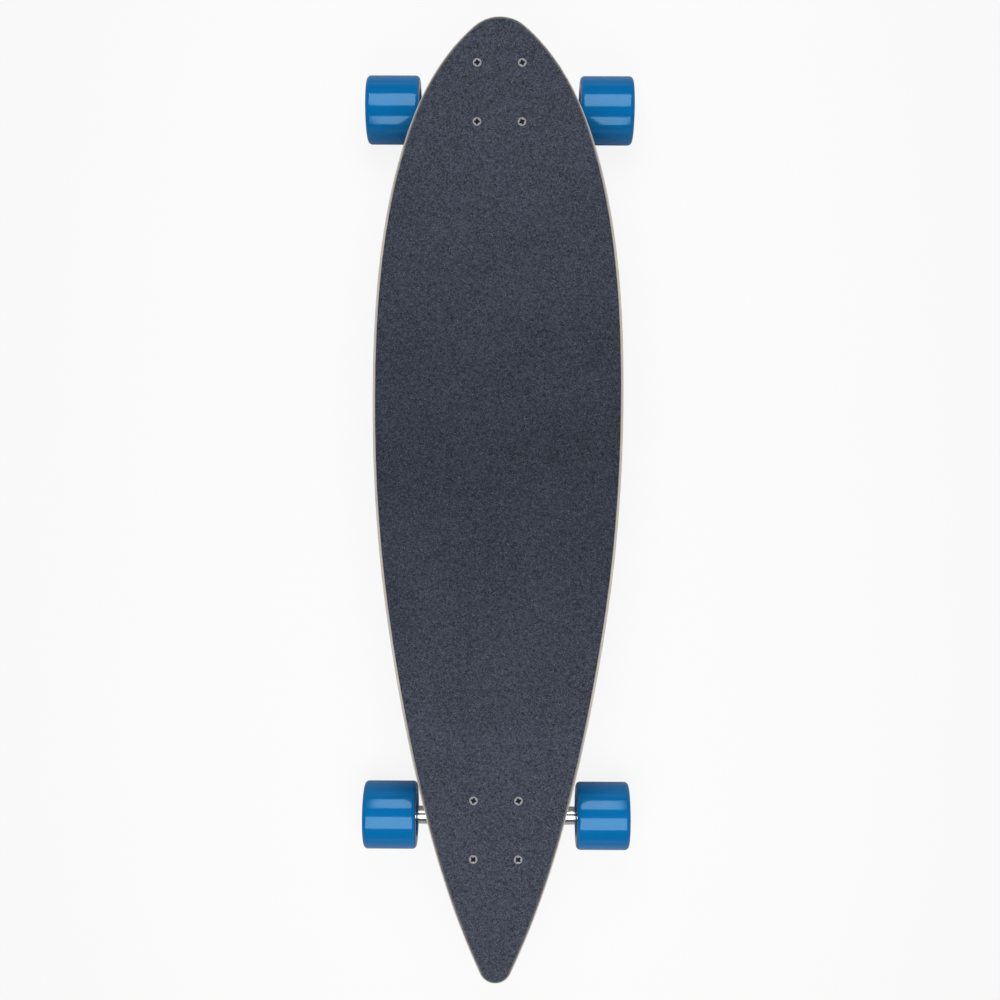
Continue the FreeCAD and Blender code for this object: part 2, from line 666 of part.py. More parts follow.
def hanger_web():
    """The web that spreads from the ring in two hollow, round-edged flanks and runs out along the arms."""
    axle_y = -AXLE_TO_KINGPIN
    wing_y = axle_y + WEB_WING
    ring_y = -WEB_EDGE_ROUND
    run, climb = WEB_REACH - WEB_NECK, ring_y - wing_y
    flank = math.hypot(run, climb)
    middle_x = (WEB_NECK + WEB_REACH) / 2 - WEB_SAG * climb / flank
    middle_y = (ring_y + wing_y) / 2 - WEB_SAG * run / flank
    web = drawing(
        in_plan,
        (-WEB_REACH, axle_y),
        (WEB_REACH, axle_y),
        (WEB_REACH, wing_y),
        ((middle_x, middle_y), (WEB_NECK, ring_y)),
        (-WEB_NECK, ring_y),
        ((-middle_x, middle_y), (-WEB_REACH, wing_y)),
    )
    web.translate(V(0, 0, -(RAKE + WEB_THICKNESS) / 2))
    web = web.extrude(UP * WEB_THICKNESS)
    return web.makeFillet(WEB_EDGE_ROUND, [edge for edge in web.Edges if isinstance(edge.Curve, Part.Circle)])


def hanger():
    """The cast hanger: arms round the axle, a ring for the kingpin, a web between and the pivot's nose."""
    half = HANGER_WIDTH / 2
    nose = turned(
        *dome(PIVOT_RADIUS),
        (PIVOT_RADIUS, PIVOT_REACH),
        (PIVOT_ROOT_RADIUS, AXLE_TO_PIVOT - ARM_ROOT_RADIUS / 2),
        (0, AXLE_TO_PIVOT),
    )
    nose = moved(nose, at(V(0, PIVOT_Y, 0), FreeCAD.Rotation(ACROSS, -90)))
    seat_radius = BUSHING_RADIUS + BUSHING_CLEARANCE
    cuts = [
        rod(RING_BORE_RADIUS, -RING_THICKNESS, RING_THICKNESS),
        rod(seat_radius, RING_SEAT, RING_THICKNESS),
        rod(seat_radius, -RING_THICKNESS, -RING_SEAT),
        moved(rod(AXLE_DIAMETER / 2, -half, half), at(AXLE_TILTED, SIDEWAYS)),
    ]
    casting = hanger_arms().fuse([hanger_ring(), hanger_web(), nose]).cut(cuts).removeSplitter()
    return moved(casting, TILTED_FRAME)


def axle():
    """The axle rod through the hanger, chamfered at both ends."""
    radius = AXLE_DIAMETER / 2
    shaft = turned(
        (0, -AXLE_END),
        (radius - AXLE_CHAMFER, -AXLE_END),
        (radius, -AXLE_END + AXLE_CHAMFER),
        (radius, AXLE_END - AXLE_CHAMFER),
        (radius - AXLE_CHAMFER, AXLE_END),
        (0, AXLE_END),
    )
    return on_axle(shaft, 0)


def on_axle(shape, x):
    """A shape made about Z, laid along the truck's axle at a distance from the centreline."""
    axle_place = at(TILTED_FRAME.multVec(AXLE_TILTED) + ACROSS * x, SIDEWAYS)
    return moved(shape, axle_place)


def axle_nuts():
    """The two lock nuts, their collars outwards."""
    nut = lock_nut(AXLE_NUT_FLATS, AXLE_NUT_HEIGHT, AXLE_DIAMETER / 2)
    flipped = moved(nut, at(V(0, 0, 0), FreeCAD.Rotation(ACROSS, 180)))
    return [on_axle(nut, AXLE_NUT), on_axle(flipped, -AXLE_NUT)]


def speed_washers():
    """The thin washers on both sides of each wheel's bearings."""
    washer = tube(INNER_RING_RADIUS - SHIELD_CLEARANCE, AXLE_DIAMETER / 2, 0, SPEED_WASHER_THICKNESS)
    inner_x = HANGER_WIDTH / 2
    places = (inner_x, OUTER_WASHER, -inner_x - SPEED_WASHER_THICKNESS, -AXLE_NUT)
    return [on_axle(washer, x) for x in places]


def wheel_tyre():
    """The urethane wheel about Z: round lips, flared mouths, two bearing seats and the shoulder between."""
    half = WHEEL_WIDTH / 2
    outside = BEARING_MIDDLE + BEARING_WIDTH / 2
    inside = BEARING_MIDDLE - BEARING_WIDTH / 2
    shoulder = BEARING_DIAMETER / 2 - WHEEL_SHOULDER
    seat = BEARING_DIAMETER / 2
    radius = WHEEL_DIAMETER / 2
    tyre = turned(
        (radius, -half),
        (radius, half),
        (WHEEL_MOUTH_RADIUS, half),
        (WHEEL_THROAT_RADIUS, outside),
        (seat, outside),
        (seat, inside),
        (shoulder, inside),
        (shoulder, -inside),
        (seat, -inside),
        (seat, -outside),
        (WHEEL_THROAT_RADIUS, -outside),
        (WHEEL_MOUTH_RADIUS, -half),
    )
    lips = [edge for edge in tyre.Edges if is_ring(edge, radius)]
    mouths = [edge for edge in tyre.Edges if is_ring(edge, WHEEL_MOUTH_RADIUS)]
    return tyre.makeFillet(WHEEL_LIP_RADIUS, lips).makeFillet(WHEEL_MOUTH_ROUND, mouths)


def is_ring(edge, radius):
    """Whether an edge is a full circle of a radius."""
    return edge.isClosed() and isinstance(edge.Curve, Part.Circle) and abs(edge.Curve.Radius - radius) < 1e-6


def bearing_rings():
    """The outer and inner rings of a bearing about Z, each with its ball groove."""
    half = BEARING_WIDTH / 2
    groove = Part.makeTorus(PITCH_RADIUS, BALL_DIAMETER / 2 + BALL_CLEARANCE)
    outer = tube(BEARING_DIAMETER / 2, OUTER_RING_RADIUS, -half, half).cut(groove)
    inner = tube(INNER_RING_RADIUS, AXLE_DIAMETER / 2, -half, half).cut(groove)
    return outer, inner


def bearing_balls():
    """The balls of a bearing about Z."""
    return [Part.makeSphere(BALL_DIAMETER / 2, place) for place in around(PITCH_RADIUS, BALL_COUNT)]


def bearing_cage():
    """A crown cage: a ring behind the balls with a round pocket for each."""
    ball = BALL_DIAMETER / 2
    back = ball + CAGE_ROOM_SHARE * (SHIELD_INNER_FACE - ball)
    ring = tube(PITCH_RADIUS + CAGE_THICKNESS / 2, PITCH_RADIUS - CAGE_THICKNESS / 2, -CAGE_GRASP, back)
    pockets = [Part.makeSphere(ball + CAGE_CLEARANCE, place) for place in around(PITCH_RADIUS, BALL_COUNT)]
    return ring.cut(pockets)


def bearing_shields():
    """The thin shields in both faces of a bearing, held in its outer ring."""
    low, high = SHIELD_INNER_FACE, SHIELD_INNER_FACE + SHIELD_THICKNESS
    bore = INNER_RING_RADIUS + SHIELD_CLEARANCE
    return [tube(OUTER_RING_RADIUS, bore, low, high), tube(OUTER_RING_RADIUS, bore, -high, -low)]


def wheel_pieces(x):
    """A wheel with its bearings and spacer, by name, at a distance along the axle."""
    outer, inner = bearing_rings()
    kinds = {
        "bearing_outer_rings": [outer],
        "bearing_inner_rings": [inner],
        "bearing_balls": bearing_balls(),
        "bearing_cages": [bearing_cage()],
        "bearing_shields": bearing_shields(),
    }
    spacer = tube(AXLE_DIAMETER / 2 + SPACER_WALL, AXLE_DIAMETER / 2, -SPACER_LENGTH / 2, SPACER_LENGTH / 2)
    pieces = {"wheel": [on_axle(wheel_tyre(), x)], "bearing_spacer": [on_axle(spacer, x)]}
    for name, solids in kinds.items():
        pieces[name] = [on_axle(solid, x + side * BEARING_MIDDLE) for side in (-1, 1) for solid in solids]
    return pieces


def truck_pieces(turns):
    """A truck's pieces by name, in its own frame, with its four deck bolts turned by given angles."""
    head_top = RISER_THICKNESS + GRIP_FACE - BOLT_HEAD_SINK
    nut = lock_nut(DECK_NUT_FLATS, DECK_NUT_HEIGHT, BOLT_DIAMETER / 2)
    hanging = moved(nut, at(V(0, 0, -BASE_THICKNESS), FreeCAD.Rotation(ACROSS, 180)))
    places = bolt_places()
    bolts = [deck_bolt(turn) for turn in turns]
    return {
        "riser_pad": [riser_pad()],
        "baseplate": [baseplate()],
        "pivot_cup": [pivot_cup()],
        "kingpin": [kingpin()],
        "kingpin_nut": [kingpin_nut()],
        "bushing_washers": bushing_washers(),
        "board_side_bushing": [board_side_bushing()],
        "road_side_bushing": [road_side_bushing()],
        "hanger": [hanger()],
        "axle": [axle()],
        "axle_nuts": axle_nuts(),
        "speed_washers": speed_washers(),
        "deck_bolts": [moved(bolt, at(place + UP * head_top)) for bolt, place in zip(bolts, places)],
        "deck_nuts": [moved(hanging, at(place)) for place in places],
    }


def write_node(name, solids):
    """Writes a node's solids to its own file."""
    shape = solids[0] if len(solids) == 1 else Part.makeCompound(solids)
    shape.exportStep(os.path.join("parts", name + ".step"))


TRUCKS = {
    "front": at(V(0, FRONT_TRUCK_Y, FACE_HEIGHT)),
    "rear": at(V(0, REAR_TRUCK_Y, FACE_HEIGHT), FreeCAD.Rotation(UP, 180)),
}
os.makedirs("parts", exist_ok=True)
deck_board, grip_sheet = deck_and_grip()
write_node("deck", [deck_board])
write_node("grip_tape", [grip_sheet])
for end, frame in TRUCKS.items():
    for piece, solids in truck_pieces(BOLT_TURNS[end]).items():
        write_node(f"{end}_{piece}", [moved(solid, frame) for solid in solids])
    for x in (-WHEEL_CENTRE, WHEEL_CENTRE):
        side = "right" if frame.multVec(ACROSS * x).x > 0 else "left"
        for piece, solids in wheel_pieces(x).items():
            write_node(f"{end}_{side}_{piece}", [moved(solid, frame) for solid in solids])
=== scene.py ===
import json
import math

import bmesh
import bpy
from bpy.props import FloatProperty, FloatVectorProperty, IntProperty, PointerProperty
from mathutils import Matrix, Vector

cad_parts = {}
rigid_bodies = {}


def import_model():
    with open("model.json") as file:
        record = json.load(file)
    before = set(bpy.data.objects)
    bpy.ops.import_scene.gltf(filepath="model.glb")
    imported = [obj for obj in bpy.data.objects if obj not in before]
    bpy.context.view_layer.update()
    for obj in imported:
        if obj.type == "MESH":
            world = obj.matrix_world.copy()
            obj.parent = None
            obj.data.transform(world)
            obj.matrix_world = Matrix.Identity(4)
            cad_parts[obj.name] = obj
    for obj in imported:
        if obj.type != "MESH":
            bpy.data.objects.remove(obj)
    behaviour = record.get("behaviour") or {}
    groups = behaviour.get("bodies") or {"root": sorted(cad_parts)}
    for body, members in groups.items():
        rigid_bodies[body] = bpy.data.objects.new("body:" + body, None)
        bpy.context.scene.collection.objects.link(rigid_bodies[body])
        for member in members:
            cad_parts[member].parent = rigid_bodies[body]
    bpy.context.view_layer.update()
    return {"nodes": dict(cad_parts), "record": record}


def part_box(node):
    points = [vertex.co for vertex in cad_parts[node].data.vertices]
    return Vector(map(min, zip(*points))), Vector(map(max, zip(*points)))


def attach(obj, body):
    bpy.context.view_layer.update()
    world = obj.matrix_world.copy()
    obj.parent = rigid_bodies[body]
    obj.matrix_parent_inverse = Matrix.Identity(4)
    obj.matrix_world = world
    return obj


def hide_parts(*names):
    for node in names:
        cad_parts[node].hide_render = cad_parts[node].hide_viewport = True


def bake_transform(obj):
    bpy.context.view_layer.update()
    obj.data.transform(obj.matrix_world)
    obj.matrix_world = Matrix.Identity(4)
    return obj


bl_info = {
    "name": "Longboard",
    "version": (1, 0, 0),
    "blender": (4, 5, 0),
    "location": "3D View > Sidebar > Longboard",
    "description": "Dresses a longboard's solids in maple, grit, cast metal and urethane",
    "category": "Object",
}

for startup_object in list(bpy.data.objects):
    bpy.data.objects.remove(startup_object)
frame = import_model()

# Metres, in the board's own frame: +Y to the nose, +X to the right, +Z up, ground at zero.
MM = 0.001
ENDS = {"front": 1, "rear": -1}
SIDES = ("left", "right")
CORNERS = [f"{end}_{side}" for end in ENDS for side in SIDES]
BODY_OF = {node: body for body, nodes in frame["record"]["behaviour"]["bodies"].items() for node in nodes}

# Deck
DECK_THICKNESS = 11 * MM
CAMBER_RISE = 8 * MM
LEVEL_MARGIN = 20 * MM
CAMBER_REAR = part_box("rear_riser_pad")[1].y + LEVEL_MARGIN
CAMBER_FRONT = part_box("front_riser_pad")[0].y - LEVEL_MARGIN
CAMBER_SPAN = CAMBER_FRONT - CAMBER_REAR
CAMBER_MIDDLE = (CAMBER_FRONT + CAMBER_REAR) / 2
CAMBER_TURN = 2 * math.atan(2 * CAMBER_RISE / CAMBER_SPAN)
CAMBER_RADIUS = CAMBER_SPAN / (4 * math.sin(CAMBER_TURN))
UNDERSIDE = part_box("front_riser_pad")[1].z

# Bolts, their threads and the nylon rings in their nuts
BOLT_HEAD_RADIUS = 4.4 * MM
BOLT_HEAD_BEVEL = 0.3 * MM
BOLT_RADIUS = 2.4 * MM
BOLT_PITCH = 0.79 * MM
RECESS_DEPTH = 4 * MM
RECESS_SHADE_DEPTH = 0.5 * MM
KINGPIN_RADIUS = 4.75 * MM
KINGPIN_PITCH = 1.06 * MM
KINGPIN_STUB = (-27 * MM, -29 * MM)
AXLE_RADIUS = 4 * MM
AXLE_PITCH = 1.0 * MM
NYLON_WIRE = 0.45 * MM

# Truck: the kingpin leans outwards by this angle, seen from the side
KINGPIN_LEAN = math.radians(45)
RING_TO_AXLE = 25 * MM
RAKE = 3 * MM
PAD_BEVEL = 0.5 * MM
BUSHING_RADIUS = 12.5 * MM
BUSHING_BULGE = 1.0 * MM
BUSHING_FOOT = 2.5 * MM
BUSHING_BORE = 4.95 * MM
BUSHING_TIP_RADIUS = 10 * MM
BUSHING_EDGE = 0.5 * MM
BUSHING_BEND = 0.8 * MM
BOARD_BUSHING = (3 * MM, 18 * MM)
ROAD_BUSHING = (-3 * MM, -16 * MM)

# Wheel section
WHEEL_LIP = 4 * MM
WHEEL_MOUTH = 21 * MM
WHEEL_MOUTH_ROUND = 1.5 * MM
WHEEL_THROAT = 12.5 * MM
WHEEL_SHOULDER = 1.5 * MM
WHEEL_EDGE = 0.3 * MM

# Fineness of turned pieces
WHEEL_SEGMENTS, WHEEL_ROUND_STEPS = 160, 10
BUSHING_SEGMENTS, BUSHING_ROUND_STEPS = 72, 3
BARREL_STEPS = 12
CONE_STEPS = 10

# Folds between faces: flat below the first angle, kept sharp above the second, bevelled above the third
FLAT_FOLD = math.radians(0.3)
SHARP_FOLD = math.radians(32)
BEVELLED_FOLD = math.radians(40)

# A face of the tape whose normal rises above this is its upper one
UPPER_FACE = 0.9

# Filed grit on the deck's rounded edge: its strength by how far the edge faces up
SIDE_DUST = ((0.84, 0.0), (0.985, 0.45))
END_DUST = ((0.70, 0.0), (0.92, 0.97))
# Where the sides give way to the ends, in shares of the camber's span
DECK_ENDS = ((0.37, 0.0), (0.61, 1.0))

# Colours that a user has no need to change
GLUE = (0.16, 0.09, 0.045)
# Painted shade: the colour laid into the deck bolts' recesses and round the edges of their heads
PAINTED_SHADE_COLOUR = (0.045, 0.045, 0.05)
GLOSS_TINT = (0.48, 0.80, 1.0)
RISER_RUBBER = (0.024, 0.024, 0.026)
CUP_PLASTIC = (0.035, 0.035, 0.037)
NYLON = (0.55, 0.56, 0.55)
CAGE_PLASTIC = (0.55, 0.52, 0.44)
BEARING_STEEL = (0.60, 0.60, 0.60)
SHIELD_STEEL = (0.40, 0.40, 0.41)


class DeckLook(bpy.types.PropertyGroup):
    """Sizes and colours of the maple deck."""

    pale: FloatVectorProperty(
        name="Pale wood", description="Light bands of the maple", subtype="COLOR", default=(0.87, 0.81, 0.715)
    )
    dark: FloatVectorProperty(
        name="Dark wood", description="Dark bands of the maple", subtype="COLOR", default=(0.68, 0.60, 0.495)
    )
    dust: FloatVectorProperty(
        name="Dust", description="Grit filed into the wood beside the tape", subtype="COLOR",
        default=(0.074, 0.074, 0.071),
    )
    plies: IntProperty(name="Plies", description="Layers of veneer in the deck", default=7, min=3)
    glue_line: FloatProperty(
        name="Glue line", description="Height of a glue line at the edge", unit="LENGTH", default=0.16 * MM
    )


class GripLook(bpy.types.PropertyGroup):
    """Sizes and colours of the grip tape."""

    dark: FloatVectorProperty(
        name="Sheet", description="Colour between the grains", subtype="COLOR", default=(0.010, 0.0135, 0.022)
    )
    light: FloatVectorProperty(
        name="Grit", description="Colour of the fine grit", subtype="COLOR", default=(0.094, 0.107, 0.149)
    )
    # The glint is a painted highlight: a pale base colour on some grains in place of their sparkle
    glint: FloatVectorProperty(
        name="Glint", description="Colour of the palest grains", subtype="COLOR", default=(0.24, 0.255, 0.30)
    )
    grain: FloatProperty(
        name="Grain size", description="Width of a coarse grain", unit="LENGTH", default=0.95 * MM
    )
    density: FloatProperty(
        name="Grains", description="Coarse grains in a square metre", default=230000.0, min=0
    )
    proud: FloatProperty(
        name="Grain height", description="How far grains stand above the sheet", unit="LENGTH",
        default=0.25 * MM,
    )


class UrethaneLook(bpy.types.PropertyGroup):
    """Colours and gloss of the wheels and bushings."""

    wheel: FloatVectorProperty(
        name="Wheel", description="Colour of the wheels", subtype="COLOR", default=(0.0, 0.185, 0.51)
    )
    bushing: FloatVectorProperty(
        name="Bushing", description="Colour of the bushings", subtype="COLOR", default=(0.02, 0.14, 0.36)
    )
    wheel_roughness: FloatProperty(
        name="Wheel roughness", description="Lower is glossier", subtype="FACTOR", default=0.09, min=0, max=1
    )


class MetalLook(bpy.types.PropertyGroup):
    """Colours and rounding of the metal pieces."""

    casting: FloatVectorProperty(
        name="Casting", description="Colour of the trucks", subtype="COLOR", default=(0.80, 0.80, 0.81)
    )
    zinc: FloatVectorProperty(
        name="Zinc", description="Colour of nuts and washers", subtype="COLOR", default=(0.60, 0.61, 0.62)
    )
    bright: FloatVectorProperty(
        name="Bright plate", description="Colour of the deck bolts", subtype="COLOR",
        default=(0.26, 0.26, 0.275),
    )
    voxel: FloatProperty(
        name="Casting detail", description="Smallest feature of a casting", unit="LENGTH", default=0.56 * MM
    )
    bevel: FloatProperty(
        name="Broken edge", description="Width of a machined edge", unit="LENGTH", default=0.22 * MM
    )


class StageLook(bpy.types.PropertyGroup):
    """Camera and light."""

    camera_place: FloatVectorProperty(
        name="Camera place", description="Where the camera stands", subtype="XYZ", unit="LENGTH",
        default=(9.18 * MM, 9.58 * MM, 1406.23 * MM),
    )
    camera_tilt: FloatVectorProperty(
        name="Camera tilt", description="Turn about X, Y and Z, away from straight down", subtype="EULER",
        default=(math.radians(-0.3811), math.radians(0.3048), math.radians(0.2955)),
    )
    focal_share: FloatProperty(
        name="Focal share", description="Focal length as a share of the sensor", default=1.41215, min=0.1
    )
    ceiling: FloatProperty(
        name="Ceiling", description="Brightness of the room overhead", subtype="FACTOR",
        default=0.12, min=0, max=1,
    )
    horizon: FloatProperty(
        name="Horizon", description="Brightness of the room at eye level", subtype="FACTOR",
        default=0.4, min=0, max=1,
    )
    softbox: FloatProperty(
        name="Softbox", description="Brightness of a softbox's face", default=4.0, min=0
    )
    softbox_width: FloatProperty(
        name="Softbox width", description="Across the board", unit="LENGTH", default=600 * MM, min=0
    )


LOOKS = {"deck": DeckLook, "grip": GripLook, "urethane": UrethaneLook, "metal": MetalLook, "stage": StageLook}


def look(name):
    """The scene's settings of one kind."""
    return getattr(bpy.context.scene, "longboard_" + name)


class Wire:
    """An output of a node that takes part in sums and products as a number does."""

    def __init__(self, tree, node, output):
        self.tree = tree
        self.node = node
        self.output = output

    def out(self, output):
        """Another output of the same node."""
        return Wire(self.tree, self.node, output)

    @property
    def socket(self):
        return self.node.outputs[self.output]

    def __add__(self, other):
        return self.tree.math("ADD", self, other)

    def __radd__(self, other):
        return self.tree.math("ADD", other, self)

    def __sub__(self, other):
        return self.tree.math("SUBTRACT", self, other)

    def __rsub__(self, other):
        return self.tree.math("SUBTRACT", other, self)

    def __mul__(self, other):
        return self.tree.math("MULTIPLY", self, other)

    def __rmul__(self, other):
        return self.tree.math("MULTIPLY", other, self)

    def __truediv__(self, other):
        return self.tree.math("DIVIDE", self, other)

    def __rtruediv__(self, other):
        return self.tree.math("DIVIDE", other, self)

    def __gt__(self, other):
        return self.tree.math("GREATER_THAN", self, other)

    def __lt__(self, other):
        return self.tree.math("LESS_THAN", self, other)

    def __abs__(self):
        return self.tree.math("ABSOLUTE", self)


class Tree:
    """A node tree under construction."""

    def __init__(self, tree):
        self.tree = tree

    def add(self, kind, settings=None, inputs=None, output=0):
        """A new node: its settings come first, then the values or wires of its sockets."""
        node = self.tree.nodes.new(kind)
        for name, value in (settings or {}).items():
            if name == "stops":
                self.set_stops(node.color_ramp, value)
            else:
                setattr(node, name, value)
        for key, value in (inputs or {}).items():
            self.plug(node.inputs[key], value)
        return Wire(self, node, output)

    def set_stops(self, ramp, stops):
        """Gives a ramp its stops: position and grey level."""
        while len(ramp.elements) < len(stops):
            ramp.elements.new(1.0)
        for element, (position, grey) in zip(ramp.elements, stops):
            element.position = position
            element.color = (grey, grey, grey, 1.0)

    def plug(self, socket, value):
        """Links a wire to a socket, or sets the socket's own value."""
        if isinstance(value, Wire):
            self.tree.links.new(value.socket, socket)
        elif socket.type == "RGBA":
            socket.default_value = (*value, 1.0)
        else:
            socket.default_value = value

    def math(self, operation, *values):
        """A Math node on numbers or wires."""
        return self.add("ShaderNodeMath", {"operation": operation}, dict(enumerate(values)))

    def mix(self, share, first, second):
        """A colour between two colours."""
        return self.add("ShaderNodeMix", {"data_type": "RGBA"}, {0: share, 6: first, 7: second}, 2)

    def ramp(self, value, *stops):
        """A number mapped through stops: position and grey level."""
        return self.add("ShaderNodeValToRGB", {"stops": stops}, {"Fac": value})


class Finish(Tree):
    """A material made of nodes on a piece's own coordinates."""

    def __init__(self, name):
        self.material = bpy.data.materials.new(name)
        self.material.use_nodes = True
        super().__init__(self.material.node_tree)
        self.tree.nodes.clear()
        self.place = self.add("ShaderNodeTexCoord", output="Object")

    def axes(self):
        """The three coordinates as numbers."""
        split = self.add("ShaderNodeSeparateXYZ", inputs={"Vector": self.place})
        return split.out("X"), split.out("Y"), split.out("Z")

    def upward(self):
        """How far the surface faces up: 1 on a level top, 0 on an upright side."""
        normal = self.add("ShaderNodeTexCoord", output="Normal")
        return self.add("ShaderNodeSeparateXYZ", inputs={"Vector": normal}, output="Z")

    def stretched(self, scale, place=None):
        """The coordinates, or a place made from them, stretched along each axis."""
        return self.add("ShaderNodeMapping", {}, {"Vector": place or self.place, "Scale": scale})

    def noise(self, size, detail=2.0, place=None):
        """Soft noise whose features are about a size across, from 0 to 1."""
        inputs = {"Vector": place or self.place, "Scale": 1 / size, "Detail": detail}
        return self.add("ShaderNodeTexNoise", {}, inputs)

    def cells(self, size):
        """Random cells of a size: the distance from a cell's middle, and a shade for each cell."""
        cell = self.add("ShaderNodeTexVoronoi", {}, {"Vector": self.place, "Scale": 1 / size})
        return cell, self.add("ShaderNodeSeparateColor", {}, {"Color": cell.out("Color")}, "Red")

    def bump(self, height, depth, strength):
        """A normal from a height in shares of a depth."""
        inputs = {"Height": height, "Distance": depth, "Strength": strength}
        return self.add("ShaderNodeBump", {}, inputs)

    def surface(self, **sockets):
        """Ends the tree in one shader. Words of a socket's name are joined by underscores."""
        inputs = {}
        for name, value in sockets.items():
            inputs[name.replace("_", " ").title().replace("Ior", "IOR")] = value
        shader = self.add("ShaderNodeBsdfPrincipled", {}, inputs)
        self.add("ShaderNodeOutputMaterial", {}, {"Surface": shader})
        return self.material


class Recipe(Tree):
    """A geometry node tree with named inputs that turns a mesh into another."""

    KINDS = {float: "NodeSocketFloat", int: "NodeSocketInt"}

    def __init__(self, name, **sizes):
        super().__init__(bpy.data.node_groups.new(name, "GeometryNodeTree"))
        face = self.tree.interface
        face.new_socket("Geometry", in_out="INPUT", socket_type="NodeSocketGeometry")
        face.new_socket("Geometry", in_out="OUTPUT", socket_type="NodeSocketGeometry")
        self.values = {}
        for size, value in sizes.items():
            item = face.new_socket(size, in_out="INPUT", socket_type=self.KINDS[type(value)])
            self.values[item.identifier] = value
        self.given = self.add("NodeGroupInput", output="Geometry")

    def size(self, name):
        """One of the named inputs."""
        return self.given.out(name)

    def serve(self, geometry, material):
        """Ends the tree: real geometry in a material."""
        real = self.add("GeometryNodeRealizeInstances", {}, {"Geometry": geometry})
        painted = self.add("GeometryNodeSetMaterial", {}, {"Geometry": real, "Material": material})
        self.add("NodeGroupOutput", {}, {"Geometry": painted})

    def cook(self, name, mesh):
        """The plain mesh that the tree makes of a mesh."""
        holder = stand(name, mesh)
        modifier = holder.modifiers.new("recipe", "NODES")
        modifier.node_group = self.tree
        for identifier, value in self.values.items():
            modifier[identifier] = value
        return plain_mesh(holder)


def stand(name, data):
    """A new object in the scene, at the origin."""
    thing = bpy.data.objects.new(name, data)
    bpy.context.scene.collection.objects.link(thing)
    return thing


def plain_mesh(holder):
    """The mesh of an object with its modifiers applied. The object is removed."""
    bpy.context.view_layer.update()
    evaluated = holder.evaluated_get(bpy.context.evaluated_depsgraph_get())
    mesh = bpy.data.meshes.new_from_object(evaluated)
    mesh.name = holder.name
    bpy.data.objects.remove(holder)
    return mesh


def piece(name, mesh, material, slot, body, *nodes):
    """A finished piece that rides on a body and stands for CAD nodes."""
    thing = stand(name, mesh)
    mesh.materials.clear()
    mesh.materials.append(material)
    if body:
        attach(thing, body)
    if nodes:
        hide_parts(*nodes)
    return thing


def merged_copy(node):
    """A CAD node's triangles joined at their corners."""
    build = bmesh.new()
    build.from_mesh(frame["nodes"][node].data)
    bmesh.ops.remove_doubles(build, verts=build.verts, dist=1e-6)
    return build


def to_mesh(build, name):
    """A smooth-shaded mesh whose clear folds stay sharp."""
    for face in build.faces:
        face.smooth = True
        face.material_index = 0
    for edge in build.edges:
        edge.smooth = not (edge.is_manifold and edge.calc_face_angle() > SHARP_FOLD)
    mesh = bpy.data.meshes.new(name)
    build.to_mesh(mesh)
    build.free()
    return mesh


def machined(node, bevel):
    """A CAD node's shape with its edges broken by a narrow bevel, and even shading on its flats."""
    build = merged_copy(node)
    if bevel:
        bmesh.ops.dissolve_limit(build, angle_limit=FLAT_FOLD, verts=build.verts, edges=build.edges)
    name = node + "_look"
    holder = stand(name, to_mesh(build, name))
    if bevel:
        broken = holder.modifiers.new("bevel", "BEVEL")
        broken.width = bevel
        broken.segments = 2
        broken.limit_method = "ANGLE"
        broken.angle_limit = BEVELLED_FOLD
        broken.use_clamp_overlap = True
    even = holder.modifiers.new("normals", "WEIGHTED_NORMAL")
    even.keep_sharp = True
    even.weight = 100
    return plain_mesh(holder)


def cast(node, voxel):
    """A CAD node's shape as a casting: its folds filled and its edges rounded off."""
    name = node + "_look"
    holder = stand(name, to_mesh(merged_copy(node), name))
    melt = holder.modifiers.new("melt", "REMESH")
    melt.mode = "VOXEL"
    melt.voxel_size = voxel
    settle = holder.modifiers.new("settle", "SMOOTH")
    settle.factor = 0.5
    settle.iterations = 22
    mesh = plain_mesh(holder)
    mesh.polygons.foreach_set("use_smooth", [True] * len(mesh.polygons))
    return mesh


def rounded(corners, steps):
    """The points of a closed section from its corners: radius, height and rounding of each."""
    points = []
    for k, (radius, height, bend) in enumerate(corners):
        here = Vector((radius, height))
        if not bend:
            points.append(here)
            continue
        before = Vector(corners[k - 1][:2]) - here
        after = Vector(corners[(k + 1) % len(corners)][:2]) - here
        half_angle = before.angle(after) / 2
        middle = here + (before.normalized() + after.normalized()).normalized() * bend / math.sin(half_angle)
        first = here + before.normalized() * bend / math.tan(half_angle) - middle
        last = here + after.normalized() * bend / math.tan(half_angle) - middle
        sweep = first.angle_signed(last)
        for step in range(steps + 1):
            points.append(middle + Matrix.Rotation(-sweep * step / steps, 2) @ first)
    return points


def lathed(name, points, placement, segments):
    """A ring turned from a closed section about Z, then placed."""
    build = bmesh.new()
    rings = []
    for k in range(segments):
        turn = 2 * math.pi * k / segments
        spoke = Vector((math.cos(turn), math.sin(turn), 0))
        rings.append([build.verts.new(spoke * point.x + Vector((0, 0, point.y))) for point in points])
    for ring, after in zip(rings, rings[1:] + rings[:1]):
        for k in range(len(points)):
            build.faces.new((ring[k - 1], after[k - 1], after[k], ring[k]))
    build.transform(placement)
    bmesh.ops.recalc_face_normals(build, faces=build.faces)
    return to_mesh(build, name)


def kingpin_frame(end):
    """The place of a truck's ring, with Z along the kingpin towards the deck."""
    outward = ENDS[end]
    low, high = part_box(f"{end}_axle")
    lean = Matrix.Rotation(outward * KINGPIN_LEAN, 4, "X")
    facing = Matrix.Diagonal((1, outward, 1, 1))
    axle = (low + high) / 2
    offset = Matrix.Rotation(KINGPIN_LEAN, 4, "X") @ Vector((0, RING_TO_AXLE, RAKE))
    return Matrix.Translation(axle + facing @ offset) @ lean


def points_mesh(name, places):
    """A mesh of loose points, each with the way that a thing on it faces."""
    mesh = bpy.data.meshes.new(name)
    mesh.from_pydata([place for place, way in places], [], [])
    ways = mesh.attributes.new("way", "FLOAT_VECTOR", "POINT")
    for k, (place, way) in enumerate(places):
        ways.data[k].vector = way
    return mesh


